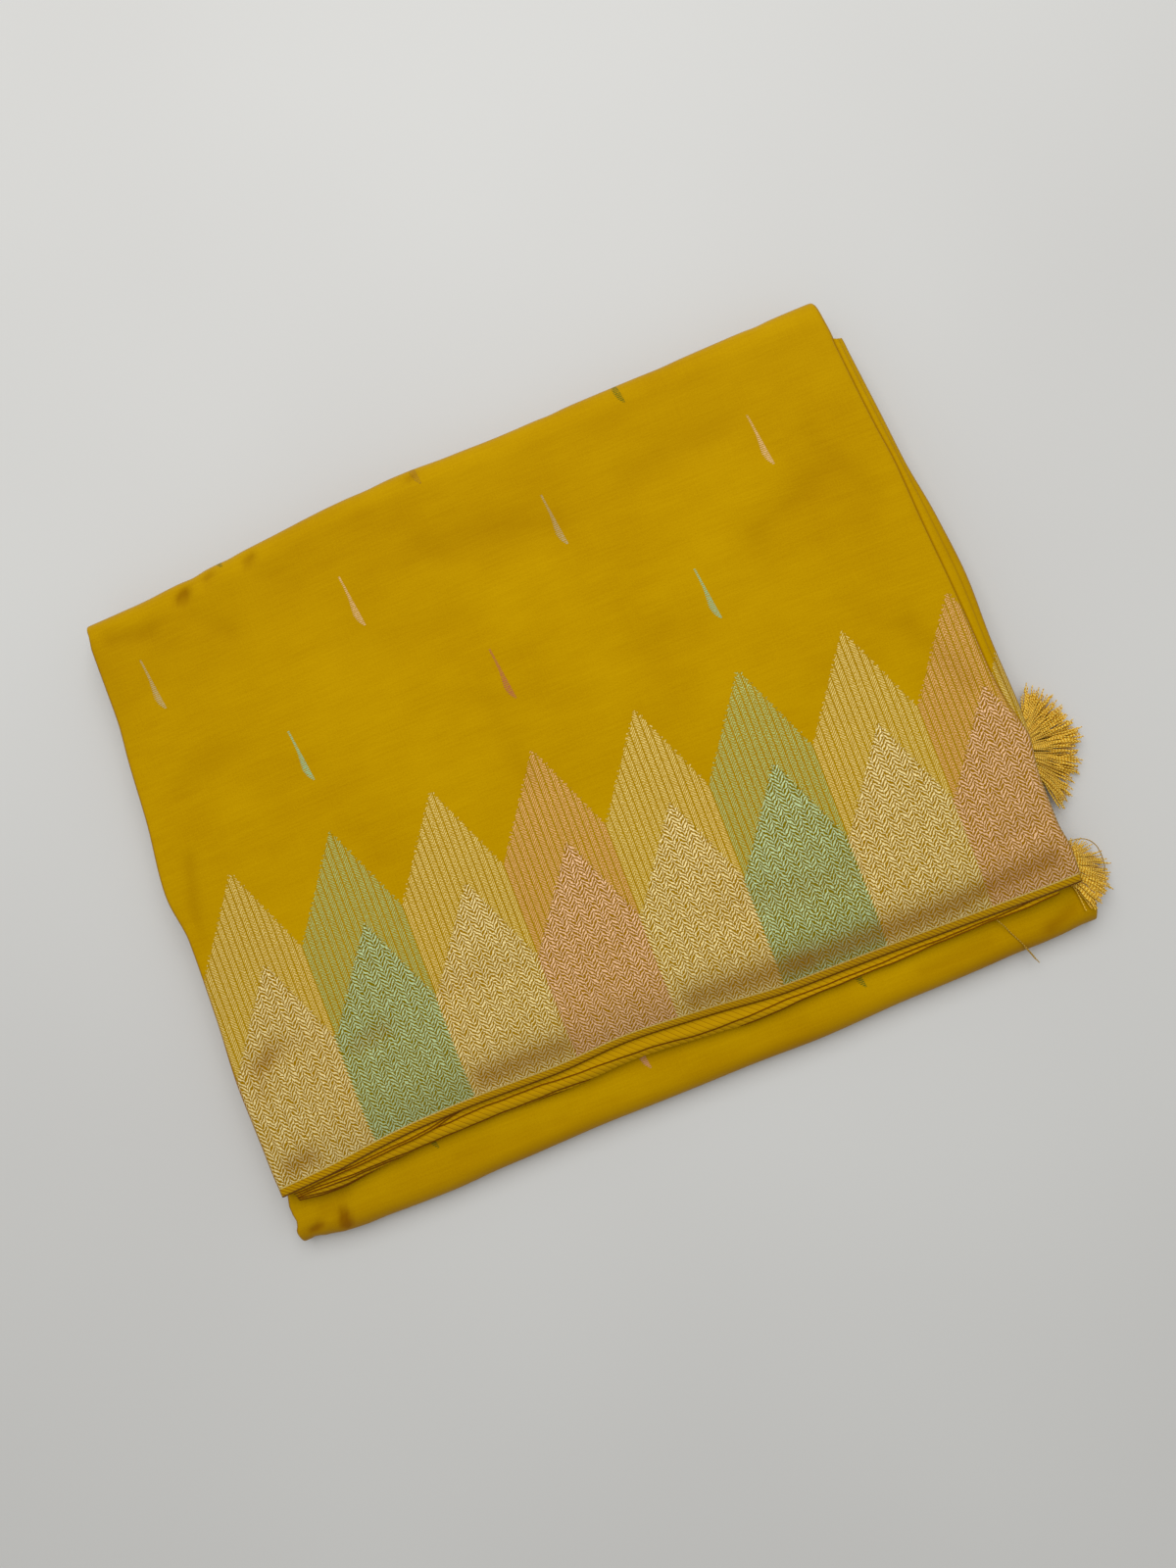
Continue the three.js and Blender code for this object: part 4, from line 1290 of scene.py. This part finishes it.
# %% Buttas
BUTTA_SPACE, BUTTA_ROWS = 103.0, 58.6
BUTTA_START = -131.9    # u of a butta in a row that isn't dropped
BUTTA_LENGTH, BUTTA_WIDTH = 26.0, 3.0
BUTTA_SLANT = 0.048     # how far the rows drift left for each mm away from the selvedge
BUTTA_LEAN = 2.2        # how far the lower end stands to the right of the upper one
BUTTA_THREAD = 0.95
SAW_DEPTH, SAW_LEAST = 0.9, 0.72    # how deep the saw edge is cut, and where its teeth start
BUTTAS_FROM = 165.0     # no butta stands nearer to the selvedge
BUTTAS_TO = 160.0       # nor further to the right
BACK_ROW_FROM, BACK_ROW_SHIFT = 268.0, 6.4  # at the back fold a row lies nearer, where the cloth was slack
BUTTA_COLOURS = ("CONSTANT", (0, "#8CC49A"), (0.25, "#E2B884"), (0.5, "#B4604A"), (0.75, "#BCAA7E"))
BACK_BUTTA_COLOURS = ("CONSTANT", (0, "#5F6418"), (0.25, "#A8822E"), (0.5, "#A67A20"), (0.75, "#8E7C30"))
DARK_BUTTA_COLOURS = ("CONSTANT", (0, "#5F6418"), (0.25, "#C89A66"), (0.5, "#C98C70"), (0.75, "#9E8C60"))
BUTTA_OUTLINE = (
    "LINEAR", (0, 0.3), (0.2, 0.32), (0.42, 0.45), (0.6, 0.74), (0.76, 1.0), (0.9, 0.8), (1, 0.3),
)


def buttas(tree, mm, u, v, colour, height, first_dark, dark_colours):
    """The buttas laid over the cloth: colour and height. From the row called first_dark on they
    take darker colours."""
    at_back = add(tree, "Math", v, BACK_ROW_FROM, operation="GREATER_THAN")
    v = add(tree, "Math", at_back, BACK_ROW_SHIFT, v, operation="MULTIPLY_ADD")
    drift = add(tree, "Math", v, -BUTTA_ROW, operation="ADD")
    straight = add(tree, "Math", drift, BUTTA_SLANT, u, operation="MULTIPLY_ADD")
    row_place = add(tree, "Math", v, 1 / BUTTA_ROWS, -BUTTA_ROW / BUTTA_ROWS, operation="MULTIPLY_ADD")
    row = add(tree, "Math", row_place, operation="ROUND")
    off_row = add(tree, "Math", row_place, row, operation="SUBTRACT")
    half_row = add(tree, "Math", row, 0.5, operation="MULTIPLY")
    dropped = add(tree, "Math", half_row, operation="FRACT")
    from_start = add(tree, "Math", straight, 1 / BUTTA_SPACE, -BUTTA_START / BUTTA_SPACE,
                     operation="MULTIPLY_ADD")
    column_place = add(tree, "Math", from_start, dropped, operation="ADD")
    column = add(tree, "Math", column_place, operation="ROUND")
    off_column = add(tree, "Math", column_place, column, operation="SUBTRACT")
    half_number = add(tree, "Math", column, dropped, operation="SUBTRACT")
    turn = add(tree, "Math", half_number, 0.5, 0.125, operation="MULTIPLY_ADD")
    pick = add(tree, "Math", turn, operation="FRACT")
    down = add(tree, "Math", off_row, -BUTTA_ROWS / BUTTA_LENGTH, 0.5, operation="MULTIPLY_ADD")
    belly = add(tree, "ValToRGB", down, stops=BUTTA_OUTLINE)
    saw_place = add(tree, "Math", v, 1 / BUTTA_THREAD, operation="MULTIPLY")
    saw = add(tree, "Math", saw_place, 0.5, operation="PINGPONG")
    toothed = add(tree, "Math", saw, SAW_DEPTH, SAW_LEAST, operation="MULTIPLY_ADD")
    width = add(tree, "Math", belly, toothed, operation="MULTIPLY")
    right_edge = add(tree, "Math", down, BUTTA_LEAN / BUTTA_SPACE, operation="MULTIPLY")
    inwards = add(tree, "Math", right_edge, off_column, operation="SUBTRACT")
    scaled = add(tree, "Math", inwards, BUTTA_SPACE / BUTTA_WIDTH, operation="MULTIPLY")
    is_left = add(tree, "Math", scaled, 0.0, operation="GREATER_THAN")
    is_right = add(tree, "Math", scaled, width, operation="LESS_THAN")
    above = add(tree, "Math", down, 0.0, operation="GREATER_THAN")
    below = add(tree, "Math", down, 1.0, operation="LESS_THAN")
    on_ground = add(tree, "Math", v, BUTTAS_FROM, operation="GREATER_THAN")
    not_last = add(tree, "Math", u, BUTTAS_TO, operation="LESS_THAN")
    inside = is_left
    for other in (is_right, above, below, on_ground, not_last):
        inside = add(tree, "Math", inside, other, operation="MULTIPLY")
    bright = add(tree, "ValToRGB", pick, stops=BUTTA_COLOURS)
    dark = add(tree, "ValToRGB", pick, stops=dark_colours)
    is_dark = add(tree, "Math", row, first_dark - 0.5, operation="GREATER_THAN")
    silk = add(tree, "Mix", {0: is_dark, 6: bright, 7: dark}, data_type="RGBA")
    specks = add(tree, "TexNoise", {"Vector": mm, "Scale": 1 / 0.9, "Detail": 2.0})
    covered = add(tree, "Math", saw, specks, operation="ADD")
    cover = add(tree, "MapRange", {"Value": covered, "From Min": 0.5, "From Max": 0.95, "To Max": 0.95})
    laid = add(tree, "Math", inside, cover, operation="MULTIPLY")
    mixed = add(tree, "Mix", {0: laid, 6: colour, 7: silk.outputs[2]}, data_type="RGBA")
    raised = add(tree, "Math", laid, 1.0, height, operation="MULTIPLY_ADD")
    return mixed.outputs[2], raised


# %% [markdown]
# ## The materials
#
# Four finishes come from those parts, the last of them in two colours. Each is named for the
# real stuff and how it was made.

# %% Materials
def brocaded_silk():
    """Mustard silk, woven plain, with a brocaded border: satin, with brighter threads in it."""
    material, tree = new_material("silk, handloom woven with a brocaded border")
    mm, u, v = cloth_place(tree)
    colour, height = plain_weave(tree, mm)
    colour, height, metal = spires(tree, mm, u, v, colour, height)
    colour, height = buttas(tree, mm, u, v, colour, height, 2, BACK_BUTTA_COLOURS)
    silk_shader(tree, paint_shade(tree, colour), height, 0.45, 0.14, metal)
    return material


def plain_silk():
    """Mustard silk, woven plain, with buttas: an even satin surface with slubs."""
    material, tree = new_material("silk, plain woven")
    mm, u, v = cloth_place(tree)
    colour, height = plain_weave(tree, mm)
    colour, height = buttas(tree, mm, u, v, colour, height, 0, DARK_BUTTA_COLOURS)
    silk_shader(tree, paint_shade(tree, colour), height, 0.5, 0.12)
    return material


def selvedge_silk():
    """The dense edge of the cloth, woven with slanting ribs: duller, with fine dark lines, and a painted
    shadow line along its very edge.
    """
    material, tree = new_material("silk, ribbed selvedge")
    mm, u, v = cloth_place(tree)
    ribs = slant_ribs(tree, u, v, SELVEDGE_RIB)
    light = add(tree, "MapRange", {"Value": ribs, "From Max": 0.09})
    ribbed = add(tree, "Mix", {0: light, 6: linear(RIB_DARK), 7: linear(RIB_LIGHT)},
                 data_type="RGBA")
    on_shadow_line = add(tree, "Math", v, SHADOW_LINE, operation="LESS_THAN")
    edged = add(tree, "Mix", {0: on_shadow_line, 6: ribbed.outputs[2], 7: linear(SHADOW_BROWN)},
                data_type="RGBA")
    silk_shader(tree, edged.outputs[2], ribs, 0.55, 0.18)
    return material


def twisted_thread(name, *colours):
    """Silk thread, twisted of two strands: glossy, with painted shade and highlight slanting along its twist.
    """
    material, tree = new_material(name)
    along = add(tree, "Attribute", attribute_name="along").outputs["Fac"]
    around = add(tree, "Attribute", attribute_name="around").outputs["Fac"]
    turns = add(tree, "Math", along, 1 / (1.5 * MM), around, operation="MULTIPLY_ADD")
    twist = add(tree, "Math", turns, 0.5, operation="PINGPONG")
    share = add(tree, "MapRange", {"Value": twist, "From Max": 0.5})
    colour = add(tree, "ValToRGB", share,
                 stops=("LINEAR", *zip((0, 0.35, 1), colours)))
    bump = add(tree, "Bump", {"Height": twist, "Strength": 1.0, "Distance": 0.15 * MM})
    shader = add(tree, "BsdfPrincipled", {
        "Base Color": colour,
        "Roughness": 0.38,
        "Specular IOR Level": 0.4,
        "Specular Tint": GOLDEN,
        "Normal": bump,
    })
    add(tree, "OutputMaterial", shader)
    return material


BROCADE, PLAIN, SELVEDGE = brocaded_silk(), plain_silk(), selvedge_silk()
# A thread's colours: painted shade in the grooves of its twist, its own colour, and painted highlight on the
# crests.
THREAD = twisted_thread("silk thread, twisted, golden", "#7C4600", "#F2B010", "#FFEA74")
LOOSE_THREAD = twisted_thread("silk thread, twisted, brown", "#7E5606", "#B08420", "#D0B050")
for piece, finish in ((top, BROCADE), (front, PLAIN), (inner, PLAIN)):
    piece.data.materials.append(finish)
for _, piece in selvedges.values():
    piece.data.materials.append(SELVEDGE)

# %% [markdown]
# ## Make the tassels
#
# The thread tree runs on each tassel's paths, and with less frizz on the loose ends.

# %% Tassels
tassels = {}
for node, row in TASSELS.items():
    paths = thread_paths(**row)
    tassels[node] = make_threads(f"{node}_threads", paths, THREAD, seed=row["seed"])
    print(node, "has", len(paths), "threads and", len(tassels[node].data.polygons), "faces")
loose_ends = []
for name, routes in LOOSE_ENDS.items():
    paths = [smooth_path(route, THREAD_POINTS) for route in routes]
    loose_ends.append(make_threads(name, paths, LOOSE_THREAD, radius=0.25, frizz=0.5))

# %% [markdown]
# ## Table and light
#
# The table is plain, pale and matt. One wide soft light stands beyond the back fold and the sky
# fills in all round, so shadows are faint and the front fold's outer side is a little darker
# than the top; painted shade on that side darkens it further.

# %% Table and light
TABLE_HALF = 2.5        # metres
TABLE_Z = -0.0001       # a hair under the pile, so that no two faces meet


def table_top():
    """The pale surface that the pile lies on."""
    mesh = bpy.data.meshes.new("table")
    corners = [(sx * TABLE_HALF, sy * TABLE_HALF, TABLE_Z) for sx, sy in ((-1, -1), (1, -1), (1, 1), (-1, 1))]
    mesh.from_pydata(corners, [], [(0, 1, 2, 3)])
    table = new_object("table", mesh)
    material, tree = new_material("laminate, matt white")
    spot = add(tree, "TexCoord")
    clouds = add(tree, "TexNoise", {"Vector": spot.outputs["Object"], "Scale": 2.5, "Detail": 2.0})
    colour = add(tree, "ValToRGB", clouds, stops=("LINEAR", (0.2, "#CDCCCA"), (0.8, "#D6D6D4")))
    shader = add(tree, "BsdfPrincipled", {"Base Color": colour, "Roughness": 0.6, "Specular IOR Level": 0.2})
    add(tree, "OutputMaterial", shader)
    mesh.materials.append(material)


def area_light(name, place, size, power):
    """A square soft light that looks at the pile."""
    data = bpy.data.lights.new(name, "AREA")
    data.size = size
    data.energy = power
    light = new_object(name, data)
    light.location = place
    light.rotation_euler = (-Vector(place)).to_track_quat("-Z", "Y").to_euler()


table_top()
area_light("window above the pile", (0.08, 0.58, 1.1), 1.2, 12.3)
sky = bpy.data.worlds.new("sky")
sky.use_nodes = True
sky.node_tree.nodes["Background"].inputs["Color"].default_value = linear("#FDFDFA")
sky.node_tree.nodes["Background"].inputs["Strength"].default_value = 0.42
bpy.context.scene.world = sky
bpy.context.scene.view_settings.view_transform = "Standard"

# %% [markdown]
# ## Hand the pieces over
#
# Every piece stands for its solid, rides with the pile, and, where it is a ply, says what size it
# was cut to. That size is read from the piece's own cloth map.

def cut_size(piece):
    """Width and length in metres of the cloth in a piece, from its map."""
    corners = np.empty(2 * len(piece.data.loops), dtype=np.float32)
    piece.data.uv_layers["Cloth"].data.foreach_get("uv", corners)
    spans = np.ptp(corners.reshape(-1, 2), axis=0)
    return tuple(round(float(span), 3) for span in spans)


def hand_over(piece, node, replaced=True, rests_on=None):
    """Attaches one finished piece to the pile, hides the solid that it replaces, and prints the cut size of a
    ply.
    """
    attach(piece, "root")
    if replaced:
        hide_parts(node)
    if rests_on:
        cut_size(piece)
        print(piece.name, "is cut", cut_size(piece), "m")


hand_over(inner, "inner_layers", rests_on=["table"])
hand_over(front, "front_fold", rests_on=[inner])
hand_over(top, "top_stretch", rests_on=[inner])
for name, (node, piece) in selvedges.items():
    hand_over(piece, node, replaced=name.endswith("silk"), rests_on=[inner])
for node, piece in tassels.items():
    hand_over(piece, node)
for piece in loose_ends:
    hand_over(piece, None, replaced=False)
